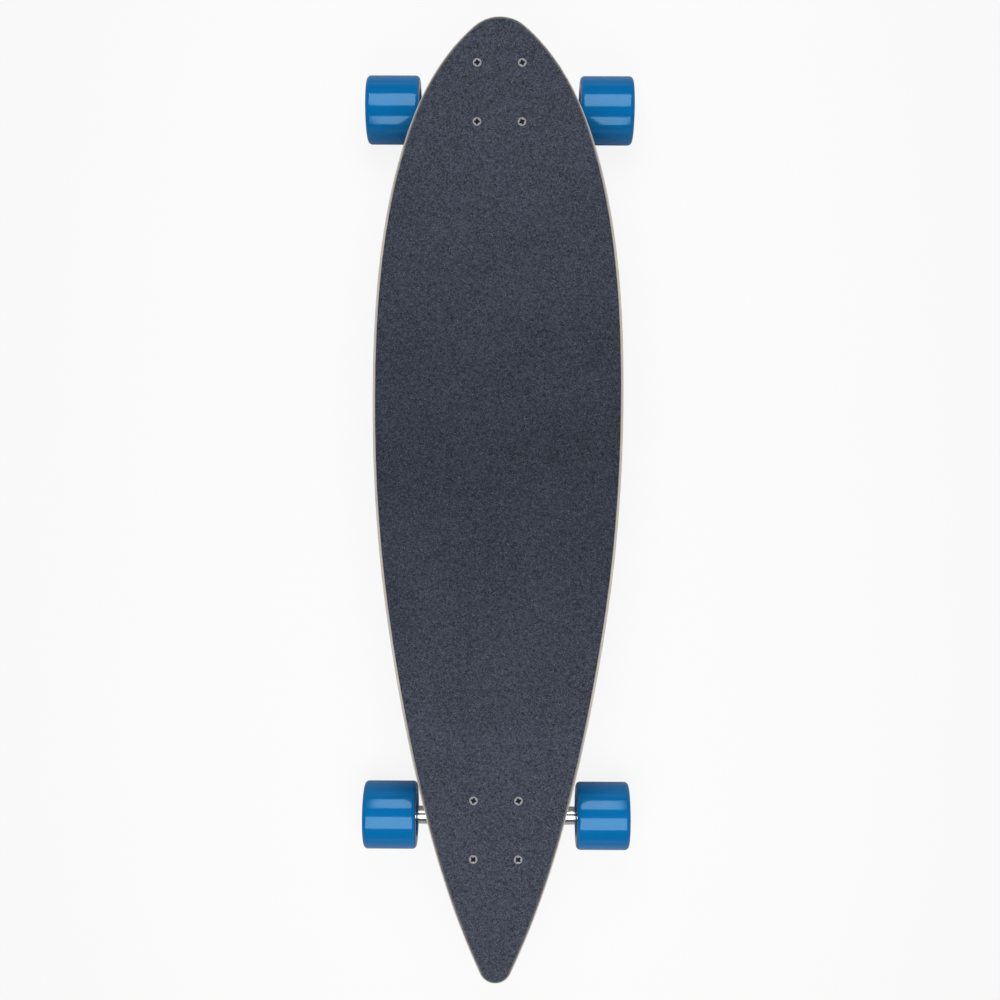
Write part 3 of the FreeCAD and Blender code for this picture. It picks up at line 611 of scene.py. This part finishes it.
def shaded(tone, share):
    """A darker or paler shade of a colour."""
    return [part * share for part in tone]


def maple():
    """Lacquered maple: long grain on the faces, glued plies at the edge, filed grit beside the tape."""
    settings = look("deck")
    wood = Finish("maple_ply")
    y, z = wood.axes()[1:]
    along = abs(y - CAMBER_MIDDLE)
    crown = CAMBER_RISE - along * along / (2 * CAMBER_RADIUS)
    foot = wood.math("MAXIMUM", CAMBER_SPAN / 2 - along, 0.0)
    in_crown = along < CAMBER_SPAN / 4
    rise = in_crown * crown + (1 - in_crown) * foot * foot / (2 * CAMBER_RADIUS)
    height = (z - UNDERSIDE - rise) / DECK_THICKNESS
    layer = wood.math("MINIMUM", wood.math("MAXIMUM", height, 0.001), 0.999) * settings.plies
    ply = wood.math("FLOOR", layer)
    glue_share = settings.glue_line * settings.plies / DECK_THICKNESS
    to_joint = abs(layer - wood.math("ROUND", layer))
    inside = (layer > 0.5) * (layer < settings.plies - 0.5)
    glue = (to_joint < glue_share / 2) * inside

    # Each ply shows another stretch of wood
    shift = wood.add("ShaderNodeCombineXYZ", {}, {"X": ply * 0.37, "Y": ply * 1.3, "Z": 0.0})
    moved = wood.add("ShaderNodeVectorMath", {"operation": "ADD"}, {0: wood.place, 1: shift})
    fibre = wood.noise(size=1.6 * MM, detail=4.0, place=wood.stretched((1, 0.018, 1), moved))
    figure = wood.noise(size=28 * MM, detail=3.0, place=wood.stretched((1, 0.05, 1), moved))
    rings = wood.ramp(wood.math("FRACT", figure * 9), (0.0, 0.15), (0.55, 0.55), (0.9, 1.0), (1.0, 0.15))
    cross = wood.math("MODULO", ply, 2.0)
    tone = fibre * 0.55 + rings * 0.30 + cross * 0.22 - 0.05
    colour = wood.mix(tone, settings.pale, settings.dark)
    colour = wood.mix(glue * 0.55, colour, GLUE)

    facing_up = wood.upward()
    side_dust = wood.ramp(facing_up, *SIDE_DUST)
    end_dust = wood.ramp(facing_up, *END_DUST)
    at_end = wood.ramp(along / CAMBER_SPAN, *DECK_ENDS)
    filed = side_dust + (end_dust - side_dust) * at_end
    colour = wood.mix(filed, colour, settings.dust)
    return wood.surface(
        base_color=colour,
        roughness=0.34 + fibre * 0.14,
        coat_weight=0.35,
        coat_roughness=0.18,
        normal=wood.bump(fibre, depth=0.08 * MM, strength=0.5),
    )


def middle_darkening(grip):
    """How much darker and flatter the tape is made towards the middle of the board, and the clouds that blur
    it.
    """
    cloud = grip.noise(size=45 * MM, detail=3.0)
    y = grip.axes()[1]
    from_middle = abs(y - CAMBER_MIDDLE) / CAMBER_SPAN
    return grip.ramp(from_middle + cloud * 0.16, (0.10, 1.0), (0.60, 0.0)), cloud


def grip_sheet():
    """The abrasive sheet: grit of mixed shades, darker towards the middle of the board."""
    settings = look("grip")
    grip = Finish("grip_sheet")
    fine = grip.noise(size=0.45 * MM)
    blotch = grip.ramp(grip.noise(size=1.6 * MM, detail=3.0), (0.36, 0.0), (0.64, 1.0))
    grit, shade = grip.cells(size=1.12 * MM)
    toward_middle, cloud = middle_darkening(grip)
    # Darker and flatter towards the middle of the board
    speckle = (blotch * 0.26 + shade * 0.68) * (1 - toward_middle * 0.32)
    tone = speckle + fine * 0.20 + cloud * 0.14 - 0.17 - toward_middle * 0.045
    return grip.surface(
        base_color=grip.mix(tone, settings.dark, settings.light),
        roughness=0.70 + fine * 0.2,
        specular_ior_level=0.2,
        normal=grip.bump(fine * 0.5 + (1 - grit) * 0.5, depth=0.30 * MM, strength=0.6),
    )


def grit_grain():
    """The coarse grains: glassy grit of mixed shades with a painted glint on the palest, duller towards the
    middle of the board.
    """
    settings = look("grip")
    grain = Finish("grit_grain")
    shade = grain.cells(size=0.8 * MM)[1]
    toward_middle = middle_darkening(grain)[0]
    # Painted highlight: the palest grains take the glint colour in place of a real sparkle
    shade = grain.ramp(shade, (0.45, 0.22), (1.0, 1.0)) * (1.06 - toward_middle * 0.22)
    return grain.surface(
        base_color=grain.mix(shade, settings.dark, settings.glint),
        roughness=0.48 + shade * 0.2,
        specular_ior_level=0.3,
    )


def cast_aluminium():
    """Tumbled and polished cast metal with a faint orange peel."""
    metal = Finish("cast_aluminium")
    peel = metal.noise(size=1.4 * MM)
    smear = metal.noise(size=9 * MM, detail=3.0)
    tone = look("metal").casting
    return metal.surface(
        base_color=metal.mix(smear, shaded(tone, 0.86), tone),
        metallic=1.0,
        roughness=0.11 + smear * 0.09 + peel * 0.03,
        normal=metal.bump(peel, depth=0.04 * MM, strength=0.25),
    )


def plated(name, tone, roughness):
    """Plated steel with fine scratches."""
    metal = Finish(name)
    scratch = metal.noise(size=0.35 * MM, detail=3.0, place=metal.stretched((1, 0.12, 1)))
    bloom = metal.noise(size=5 * MM)
    return metal.surface(
        base_color=metal.mix(bloom, shaded(tone, 0.82), tone),
        metallic=1.0,
        roughness=roughness + scratch * 0.12,
        normal=metal.bump(scratch, depth=0.02 * MM, strength=0.3),
    )


def bolt_plate():
    """Satin plate on the deck bolts, with painted shade in the recess and in a thin ring at the edge of a
    head.
    """
    metal = Finish("bright_plate")
    x, y, z = metal.axes()
    scratch = metal.noise(size=0.3 * MM, detail=3.0)
    low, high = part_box("front_deck_bolts")
    group_middle = (low.y + high.y) / 2
    board_middle = (low.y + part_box("rear_deck_bolts")[1].y) / 2
    across = abs(x) - (high.x - BOLT_HEAD_RADIUS)
    from_group = abs(abs(y - board_middle) - (group_middle - board_middle))
    along = from_group - (high.y - group_middle - BOLT_HEAD_RADIUS)
    from_axis = metal.math("SQRT", across * across + along * along)
    depth = high.z - z
    # Painted shade: the recess and a thin ring at the head's edge are darkened where shadow would fall
    recess = metal.ramp(depth / RECESS_SHADE_DEPTH, (0.22, 0.0), (0.75, 1.0))
    edge = metal.ramp(from_axis / BOLT_HEAD_RADIUS, (0.86, 0.0), (0.97, 0.9))
    painted_shade = metal.math("MAXIMUM", recess, edge) * (depth < RECESS_DEPTH)
    return metal.surface(
        base_color=metal.mix(painted_shade, look("metal").bright, PAINTED_SHADE_COLOUR),
        metallic=1.0,
        roughness=0.55 + scratch * 0.12 + painted_shade * 0.25,
        normal=metal.bump(scratch, depth=0.02 * MM, strength=0.3),
    )


def urethane(name, tone, roughness):
    """Cast urethane: clear colour, glossy, with a faint unevenness and a bluish gloss."""
    plastic = Finish(name)
    haze = plastic.noise(size=7 * MM)
    return plastic.surface(
        base_color=plastic.mix(haze, shaded(tone, 0.90), tone),
        roughness=roughness + haze * 0.04,
        ior=1.55,
        specular_tint=GLOSS_TINT,
        normal=plastic.bump(haze, depth=0.03 * MM, strength=0.2),
    )


def moulded(name, tone, roughness, grain):
    """Moulded plastic or rubber with a fine surface grain."""
    plastic = Finish(name)
    skin = plastic.noise(size=grain)
    return plastic.surface(
        base_color=plastic.mix(skin, tone, shaded(tone, 1.35)),
        roughness=roughness + skin * 0.12,
        normal=plastic.bump(skin, depth=0.05 * MM, strength=0.5),
    )


class LONGBOARD_OT_deck(bpy.types.Operator):
    """Make the maple deck"""

    bl_idname = "longboard.deck"
    bl_label = "Deck"

    def execute(self, context):
        piece("deck_look", machined("deck", 0), maple(), "maple", "deck", "deck")
        return {"FINISHED"}


class LONGBOARD_OT_grip(bpy.types.Operator):
    """Make the grip tape and its coarse grains"""

    bl_idname = "longboard.grip"
    bl_label = "Grip tape"

    def execute(self, context):
        settings = look("grip")
        build = merged_copy("grip_tape")
        build.normal_update()
        upper = {vert for face in build.faces if face.normal.z > UPPER_FACE for vert in face.verts}
        for vert in upper:
            vert.co.z -= settings.proud
        sheet = to_mesh(build, "grip_sheet")
        grit = grit_grain()
        grains = self.grain_recipe(grit).cook("grip_grains", sheet.copy())
        piece("grip_sheet", sheet, grip_sheet(), "grip", "deck", "grip_tape")
        piece("grip_grains", grains, grit, "grip", "deck")
        return {"FINISHED"}

    def grain_recipe(self, grit):
        """Small pyramids strewn over the sheet's upper face."""
        settings = look("grip")
        recipe = Recipe(
            "grit", Density=settings.density, Width=settings.grain, Height=settings.proud, Seed=7
        )
        normal = recipe.add("GeometryNodeInputNormal")
        lift = recipe.add("ShaderNodeSeparateXYZ", {}, {"Vector": normal}, "Z")
        strewn = recipe.add(
            "GeometryNodeDistributePointsOnFaces",
            {"distribute_method": "RANDOM"},
            {
                "Mesh": recipe.given,
                "Selection": lift > UPPER_FACE,
                "Density": recipe.size("Density"),
                "Seed": recipe.size("Seed"),
            },
            "Points",
        )
        grain = recipe.add(
            "GeometryNodeMeshCone",
            {"fill_type": "NONE"},
            {
                "Vertices": 4,
                "Radius Top": 0.0,
                "Radius Bottom": recipe.size("Width") / 2,
                "Depth": recipe.size("Height"),
            },
            "Mesh",
        )
        turn = recipe.add(
            "FunctionNodeRandomValue",
            {"data_type": "FLOAT_VECTOR"},
            {0: (0.0, 0.0, 0.0), 1: (0.0, 0.0, 2 * math.pi), "Seed": recipe.size("Seed")},
        )
        stretch = recipe.add(
            "FunctionNodeRandomValue",
            {"data_type": "FLOAT_VECTOR"},
            {0: (0.5, 0.5, 0.4), 1: (1.0, 1.0, 1.0), "Seed": recipe.size("Seed") + 1},
        )
        placed = recipe.add(
            "GeometryNodeInstanceOnPoints",
            {},
            {"Points": strewn, "Instance": grain, "Rotation": turn, "Scale": stretch},
        )
        recipe.serve(placed, grit)
        return recipe


class LONGBOARD_OT_castings(bpy.types.Operator):
    """Make the trucks' cast hangers and baseplates"""

    bl_idname = "longboard.castings"
    bl_label = "Castings"

    def execute(self, context):
        metal = cast_aluminium()
        for end in ENDS:
            for kind in ("hanger", "baseplate"):
                node = f"{end}_{kind}"
                mesh = cast(node, look("metal").voxel)
                piece(node + "_look", mesh, metal, "cast_aluminium", BODY_OF[node], node)
        return {"FINISHED"}


class LONGBOARD_OT_bushings(bpy.types.Operator):
    """Make the bushings"""

    bl_idname = "longboard.bushings"
    bl_label = "Bushings"

    def execute(self, context):
        rubber = urethane("bushing_urethane", look("urethane").bushing, roughness=0.33)
        for end in ENDS:
            place = kingpin_frame(end)
            low, high = BOARD_BUSHING
            self.bushing(end, "board_side", rubber, place, self.barrel(low, high), high, low)
            low, high = ROAD_BUSHING
            self.bushing(end, "road_side", rubber, place, self.cone(low, high), high, low)
        return {"FINISHED"}

    def barrel(self, low, high):
        """The side of the board-side bushing: a barrel with straight feet."""
        run = high - low - 2 * BUSHING_FOOT
        side = [(BUSHING_RADIUS, low, BUSHING_EDGE)]
        for k in range(BARREL_STEPS + 1):
            swell = BUSHING_BULGE * math.sin(math.pi * k / BARREL_STEPS)
            side.append((BUSHING_RADIUS + swell, low + BUSHING_FOOT + run * k / BARREL_STEPS, 0))
        side += [(BUSHING_RADIUS, high, BUSHING_EDGE), (BUSHING_BORE, high, 0), (BUSHING_BORE, low, 0)]
        return rounded(side, BUSHING_ROUND_STEPS)

    def cone(self, wide, narrow):
        """The side of the road-side bushing: a cone with straight feet."""
        start, end = wide - BUSHING_FOOT, narrow + BUSHING_FOOT
        side = [(BUSHING_RADIUS, wide, BUSHING_EDGE), (BUSHING_RADIUS, start, BUSHING_BEND)]
        for k in range(1, CONE_STEPS):
            share = k / CONE_STEPS
            radius = BUSHING_RADIUS + (BUSHING_TIP_RADIUS - BUSHING_RADIUS) * share
            side.append((radius, start + (end - start) * share, 0))
        side += [(BUSHING_TIP_RADIUS, end, BUSHING_BEND), (BUSHING_TIP_RADIUS, narrow, BUSHING_EDGE)]
        side += [(BUSHING_BORE, narrow, 0), (BUSHING_BORE, wide, 0)]
        return rounded(side, BUSHING_ROUND_STEPS)

    def bushing(self, end, kind, rubber, place, section, fixed, moving):
        """One bushing, turned round its kingpin."""
        node = f"{end}_{kind}_bushing"
        mesh = lathed(node + "_look", section, place, BUSHING_SEGMENTS)
        made = piece(node + "_look", mesh, rubber, "bushing_urethane", None, node)
        start, stop = place @ Vector((0, 0, fixed)), place @ Vector((0, 0, moving))
        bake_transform(made)


class LONGBOARD_OT_hardware(bpy.types.Operator):
    """Make the bolts, nuts, washers, axles, pads and cups"""

    bl_idname = "longboard.hardware"
    bl_label = "Hardware"

    def execute(self, context):
        metal = look("metal")
        zinc = plated("zinc_plate", metal.zinc, roughness=0.26)
        ground = plated("ground_steel", shaded(metal.zinc, 0.92), roughness=0.20)
        bright = bolt_plate()
        rubber = moulded("riser_rubber", RISER_RUBBER, roughness=0.62, grain=0.5 * MM)
        cup = moulded("cup_plastic", CUP_PLASTIC, roughness=0.45, grain=0.8 * MM)
        kinds = {
            "deck_bolts": (bright, "bright_steel", BOLT_HEAD_BEVEL),
            "deck_nuts": (zinc, "zinc_steel", metal.bevel),
            "kingpin": (zinc, "zinc_steel", metal.bevel),
            "kingpin_nut": (zinc, "zinc_steel", metal.bevel),
            "bushing_washers": (zinc, "zinc_steel", metal.bevel),
            "axle": (ground, "axle_steel", 0),
            "axle_nuts": (zinc, "zinc_steel", metal.bevel),
            "speed_washers": (zinc, "zinc_steel", 0),
            "riser_pad": (rubber, "riser_rubber", PAD_BEVEL),
            "pivot_cup": (cup, "pivot_plastic", metal.bevel),
        }
        for end in ENDS:
            for kind, (material, slot, bevel) in kinds.items():
                node = f"{end}_{kind}"
                piece(node + "_look", machined(node, bevel), material, slot, BODY_OF[node], node)
        return {"FINISHED"}


class LONGBOARD_OT_threads(bpy.types.Operator):
    """Make the threads at the ends of bolts and axles, and the nylon rings of the lock nuts"""

    bl_idname = "longboard.threads"
    bl_label = "Threads and nylon rings"

    # In shares of a thread's pitch: the wound wire's radius, how deep it lies, and how far short it stops
    WIRE_RADIUS = 0.32
    WIRE_SUNK = 0.1
    WIRE_SHORT = 0.4

    def execute(self, context):
        zinc = bpy.data.materials["zinc_plate"]
        nylon = moulded("nylon", NYLON, roughness=0.35, grain=0.6 * MM)
        for end in ENDS:
            stubs = {
                "deck_bolt": (self.deck_bolt_ends(end), BOLT_RADIUS, BOLT_PITCH, "deck"),
                "kingpin": (self.kingpin_ends(end), KINGPIN_RADIUS, KINGPIN_PITCH, "deck"),
                "axle": (self.axle_ends(end), AXLE_RADIUS, AXLE_PITCH, f"{end}_hanger"),
            }
            for kind, ((places, length), radius, pitch, body) in stubs.items():
                name = f"{end}_{kind}_threads"
                recipe = self.thread_recipe(radius, pitch, length, zinc)
                piece(name, recipe.cook(name, points_mesh(name, places)), zinc, "zinc_steel", body)
                name = f"{end}_{kind}_nylon"
                recipe = self.ring_recipe(radius, nylon)
                piece(name, recipe.cook(name, points_mesh(name, places)), nylon, "cage_plastic", body)
        return {"FINISHED"}

    def deck_bolt_ends(self, end):
        """Where the deck bolts leave their nuts, and how far they stand out."""
        low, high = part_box(f"{end}_deck_bolts")
        nut_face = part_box(f"{end}_deck_nuts")[0].z
        across = [low.x + BOLT_HEAD_RADIUS, high.x - BOLT_HEAD_RADIUS]
        along = [low.y + BOLT_HEAD_RADIUS, high.y - BOLT_HEAD_RADIUS]
        places = [(Vector((x, y, nut_face)), Vector((0, 0, -1))) for x in across for y in along]
        return places, nut_face - low.z

    def kingpin_ends(self, end):
        """Where the kingpin leaves its nut, and how far it stands out."""
        place = kingpin_frame(end)
        face, tip = (place @ Vector((0, 0, height)) for height in KINGPIN_STUB)
        return [(face, (tip - face).normalized())], (tip - face).length

    def axle_ends(self, end):
        """Where the axle leaves its nuts, and how far it stands out."""
        low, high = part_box(f"{end}_axle")
        nut_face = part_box(f"{end}_axle_nuts")[1].x
        middle = (low + high) / 2
        places = [(middle + Vector((way * nut_face, 0, 0)), Vector((way, 0, 0))) for way in (-1, 1)]
        return places, high.x - nut_face

    def set_on_ends(self, recipe, curve, wire, material):
        """Sweeps a wire along a curve, and sets the result on each end, facing outwards."""
        section = recipe.add(
            "GeometryNodeCurvePrimitiveCircle", {}, {"Resolution": 6, "Radius": wire}, "Curve"
        )
        swept = recipe.add(
            "GeometryNodeCurveToMesh", {}, {"Curve": curve, "Profile Curve": section, "Fill Caps": True}
        )
        way = recipe.add("GeometryNodeInputNamedAttribute", {"data_type": "FLOAT_VECTOR"}, {"Name": "way"})
        facing = recipe.add("FunctionNodeAlignRotationToVector", {"axis": "Z"}, {"Vector": way})
        ends = recipe.add("GeometryNodeMeshToPoints", {}, {"Mesh": recipe.given})
        placed = recipe.add(
            "GeometryNodeInstanceOnPoints", {}, {"Points": ends, "Instance": swept, "Rotation": facing}
        )
        smooth = recipe.add("GeometryNodeSetShadeSmooth", {}, {0: placed})
        recipe.serve(smooth, material)
        return recipe

    def thread_recipe(self, radius, pitch, length, metal):
        """A thread wound round the last stretch of a bolt."""
        recipe = Recipe("thread", Radius=radius, Pitch=pitch, Length=length)
        crest = recipe.size("Radius") - recipe.size("Pitch") * self.WIRE_SUNK
        run = recipe.size("Length") - recipe.size("Pitch") * self.WIRE_SHORT
        helix = recipe.add(
            "GeometryNodeCurveSpiral",
            {},
            {
                "Resolution": 40,
                "Rotations": run / recipe.size("Pitch"),
                "Start Radius": crest,
                "End Radius": crest,
                "Height": run,
            },
        )
        return self.set_on_ends(recipe, helix, recipe.size("Pitch") * self.WIRE_RADIUS, metal)

    def ring_recipe(self, radius, nylon):
        """The nylon ring that shows round a bolt where it leaves a lock nut."""
        recipe = Recipe("nylon_ring", Radius=radius, Wire=NYLON_WIRE)
        loop = recipe.add(
            "GeometryNodeCurvePrimitiveCircle",
            {},
            {"Resolution": 48, "Radius": recipe.size("Radius") + recipe.size("Wire")},
            "Curve",
        )
        return self.set_on_ends(recipe, loop, recipe.size("Wire"), nylon)


class LONGBOARD_OT_wheels(bpy.types.Operator):
    """Make the four urethane wheels"""

    bl_idname = "longboard.wheels"
    bl_label = "Wheels"

    def execute(self, context):
        settings = look("urethane")
        blue = urethane("wheel_urethane", settings.wheel, settings.wheel_roughness)
        for corner in CORNERS:
            node = f"{corner}_wheel"
            low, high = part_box(node)
            place = Matrix.Translation((low + high) / 2) @ Matrix.Rotation(math.radians(90), 4, "Y")
            mesh = lathed(node + "_look", self.section(corner), place, WHEEL_SEGMENTS)
            piece(node + "_look", mesh, blue, "wheel_urethane", node, node)
        return {"FINISHED"}

    def section(self, corner):
        """A wheel's section from its own box and those of the bearings it holds."""
        low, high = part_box(f"{corner}_wheel")
        radius, half = (high.z - low.z) / 2, (high.x - low.x) / 2
        ring_low, ring_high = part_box(f"{corner}_bearing_outer_rings")
        seat, outside = (ring_high.z - ring_low.z) / 2, (ring_high.x - ring_low.x) / 2
        spacer_low, spacer_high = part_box(f"{corner}_bearing_spacer")
        inside = (spacer_high.x - spacer_low.x) / 2
        upper = [
            (radius, half, WHEEL_LIP),
            (WHEEL_MOUTH, half, WHEEL_MOUTH_ROUND),
            (WHEEL_THROAT, outside, WHEEL_EDGE),
            (seat, outside, WHEEL_EDGE),
            (seat, inside, 0),
            (seat - WHEEL_SHOULDER, inside, WHEEL_EDGE),
        ]
        lower = [(across, -height, bend) for across, height, bend in reversed(upper)]
        return rounded(upper + lower, WHEEL_ROUND_STEPS)


class LONGBOARD_OT_bearings(bpy.types.Operator):
    """Make the bearings and their spacers"""

    bl_idname = "longboard.bearings"
    bl_label = "Bearings"

    def execute(self, context):
        steel = plated("bearing_steel", BEARING_STEEL, roughness=0.18)
        pressed = plated("shield_steel", SHIELD_STEEL, roughness=0.34)
        cage = moulded("cage_plastic", CAGE_PLASTIC, roughness=0.40, grain=0.6 * MM)
        kinds = {
            "bearing_outer_rings": (steel, "bearing_steel"),
            "bearing_inner_rings": (steel, "bearing_steel"),
            "bearing_balls": (steel, "bearing_steel"),
            "bearing_cages": (cage, "cage_plastic"),
            "bearing_shields": (pressed, "shield_steel"),
            "bearing_spacer": (steel, "bearing_steel"),
        }
        for corner in CORNERS:
            for kind, (material, slot) in kinds.items():
                node = f"{corner}_{kind}"
                piece(node + "_look", machined(node, 0), material, slot, BODY_OF[node], node)
        return {"FINISHED"}


class LONGBOARD_OT_stage(bpy.types.Operator):
    """Set the floor, the lights and the camera"""

    bl_idname = "longboard.stage"
    bl_label = "Stage"

    WHITE = (1.0, 1.0, 1.0)
    FLOOR_RADIUS = 40.0
    FLOOR_FADE = 2.5
    FLOOR_SEEN = (0.92, 0.92, 0.92)
    FLOOR_BOUNCE = (0.55, 0.55, 0.55)
    MIRRORED_SHARE = 0.2
    # How steeply one looks up to where the room's pale band ends, and to where its dark ceiling begins
    PALE_BAND = 0.06
    DARK_CEILING = 0.30
    # Upper and lower edge of each softbox: along the board, then up
    SOFTBOXES = {
        "nose_softbox": ((0.395, 1.10), (0.875, 0.61)),
        "tail_softbox": ((-0.238, 0.94), (-0.750, 0.66)),
    }

    def execute(self, context):
        scene = context.scene
        scene.view_settings.view_transform = "Standard"
        self.floor()
        self.world(scene)
        for name, (upper, lower) in self.SOFTBOXES.items():
            self.softbox(name, Vector(upper), Vector(lower))
        self.camera(scene)
        return {"FINISHED"}

    def seen(self, tree, mirrored_there):
        """How far white takes the place of what lights the board: all for the camera, a share in mirrors."""
        path = tree.add("ShaderNodeLightPath")
        mirrored = tree.math("MAXIMUM", path.out("Is Glossy Ray"), path.out("Is Transmission Ray"))
        share = mirrored * mirrored_there * self.MIRRORED_SHARE
        return tree.math("MAXIMUM", path.out("Is Camera Ray"), share)

    def floor(self):
        """A pale floor that keeps a light shadow and looks white."""
        build = bmesh.new()
        bmesh.ops.create_circle(build, cap_ends=True, segments=96, radius=self.FLOOR_RADIUS)
        mesh = to_mesh(build, "floor")
        thing = stand("floor", mesh)
        pale = Finish("pale_floor")
        distance = pale.add("ShaderNodeVectorMath", {"operation": "LENGTH"}, {0: pale.place}, "Value")
        far = distance / self.FLOOR_FADE
        white = pale.ramp(far, (0.3, 0.88), (1.0, 1.0))
        clear_of_board = pale.ramp(far, (0.24, 0.0), (0.6, 1.0))
        camera = pale.add("ShaderNodeLightPath", output="Is Camera Ray")
        tone = pale.mix(camera, self.FLOOR_BOUNCE, self.FLOOR_SEEN)
        lit = pale.add("ShaderNodeBsdfDiffuse", {}, {"Color": tone})
        glow = pale.add("ShaderNodeEmission", {}, {"Color": self.WHITE, "Strength": 1.0})
        share = self.seen(pale, clear_of_board) * white
        both = pale.add("ShaderNodeMixShader", {}, {0: share, 1: lit, 2: glow})
        pale.add("ShaderNodeOutputMaterial", {}, {"Surface": both})
        mesh.materials.append(pale.material)

    def world(self, scene):
        """A room that is pale at eye level and darker overhead."""
        scene.world = bpy.data.worlds.new("studio")
        scene.world.use_nodes = True
        room = Tree(scene.world.node_tree)
        room.tree.nodes.clear()
        way = room.add("ShaderNodeTexCoord", output="Generated")
        up = room.add("ShaderNodeSeparateXYZ", {}, {"Vector": way}, "Z")
        settings = look("stage")
        shade = room.ramp(up, (self.PALE_BAND, settings.horizon), (self.DARK_CEILING, settings.ceiling))
        backdrop = room.ramp(up, (self.PALE_BAND, 1.0), (self.DARK_CEILING, 0.0))
        colour = room.mix(self.seen(room, backdrop), shade, self.WHITE)
        light = room.add("ShaderNodeBackground", {}, {"Color": colour, "Strength": 1.0})
        room.add("ShaderNodeOutputWorld", {}, {"Surface": light})

    def softbox(self, name, upper, lower):
        """A softbox slung over one end of the board between two edges, facing its middle."""
        settings = look("stage")
        lamp = bpy.data.lights.new(name, "AREA")
        lamp.shape = "RECTANGLE"
        lamp.size = settings.softbox_width
        lamp.size_y = (upper - lower).length
        lamp.energy = settings.softbox * math.pi * lamp.size * lamp.size_y
        holder = stand(name, lamp)
        middle, slope = (upper + lower) / 2, upper - lower
        holder.location = (0.0, middle.x, middle.y)
        tilt = math.atan2(slope.y, abs(slope.x))
        holder.rotation_euler = (math.copysign(tilt, -middle.x), 0.0, 0.0)
        holder.visible_camera = False

    def camera(self, scene):
        """The camera high above the board, looking almost straight down."""
        settings = look("stage")
        lens = bpy.data.cameras.new("camera")
        lens.lens = settings.focal_share * lens.sensor_width
        holder = stand("camera", lens)
        holder.location = settings.camera_place
        holder.rotation_mode = "ZYX"
        holder.rotation_euler = settings.camera_tilt
        scene.camera = holder


OPERATORS = (
    LONGBOARD_OT_deck,
    LONGBOARD_OT_grip,
    LONGBOARD_OT_castings,
    LONGBOARD_OT_bushings,
    LONGBOARD_OT_hardware,
    LONGBOARD_OT_threads,
    LONGBOARD_OT_wheels,
    LONGBOARD_OT_bearings,
    LONGBOARD_OT_stage,
)


class LONGBOARD_PT_sidebar(bpy.types.Panel):
    """Lists the board's pieces and their settings"""

    bl_idname = "LONGBOARD_PT_sidebar"
    bl_label = "Longboard"
    bl_space_type = "VIEW_3D"
    bl_region_type = "UI"
    bl_category = "Longboard"

    def draw(self, context):
        for operator in OPERATORS:
            self.layout.operator(operator.bl_idname)
        for name in LOOKS:
            settings = look(name)
            self.layout.label(text=name.title())
            for key in settings.bl_rna.properties.keys():
                if key not in ("rna_type", "name"):
                    self.layout.prop(settings, key)


def register():
    for name, group in LOOKS.items():
        bpy.utils.register_class(group)
        setattr(bpy.types.Scene, "longboard_" + name, PointerProperty(type=group))
    for kind in (*OPERATORS, LONGBOARD_PT_sidebar):
        bpy.utils.register_class(kind)


def unregister():
    for kind in (LONGBOARD_PT_sidebar, *reversed(OPERATORS)):
        bpy.utils.unregister_class(kind)
    for name, group in LOOKS.items():
        delattr(bpy.types.Scene, "longboard_" + name)
        bpy.utils.unregister_class(group)


def main():
    """Registers the add-on and builds every piece."""
    register()
    for operator in OPERATORS:
        getattr(bpy.ops.longboard, operator.bl_idname.split(".")[1])()


if __name__ == "__main__":
    main()
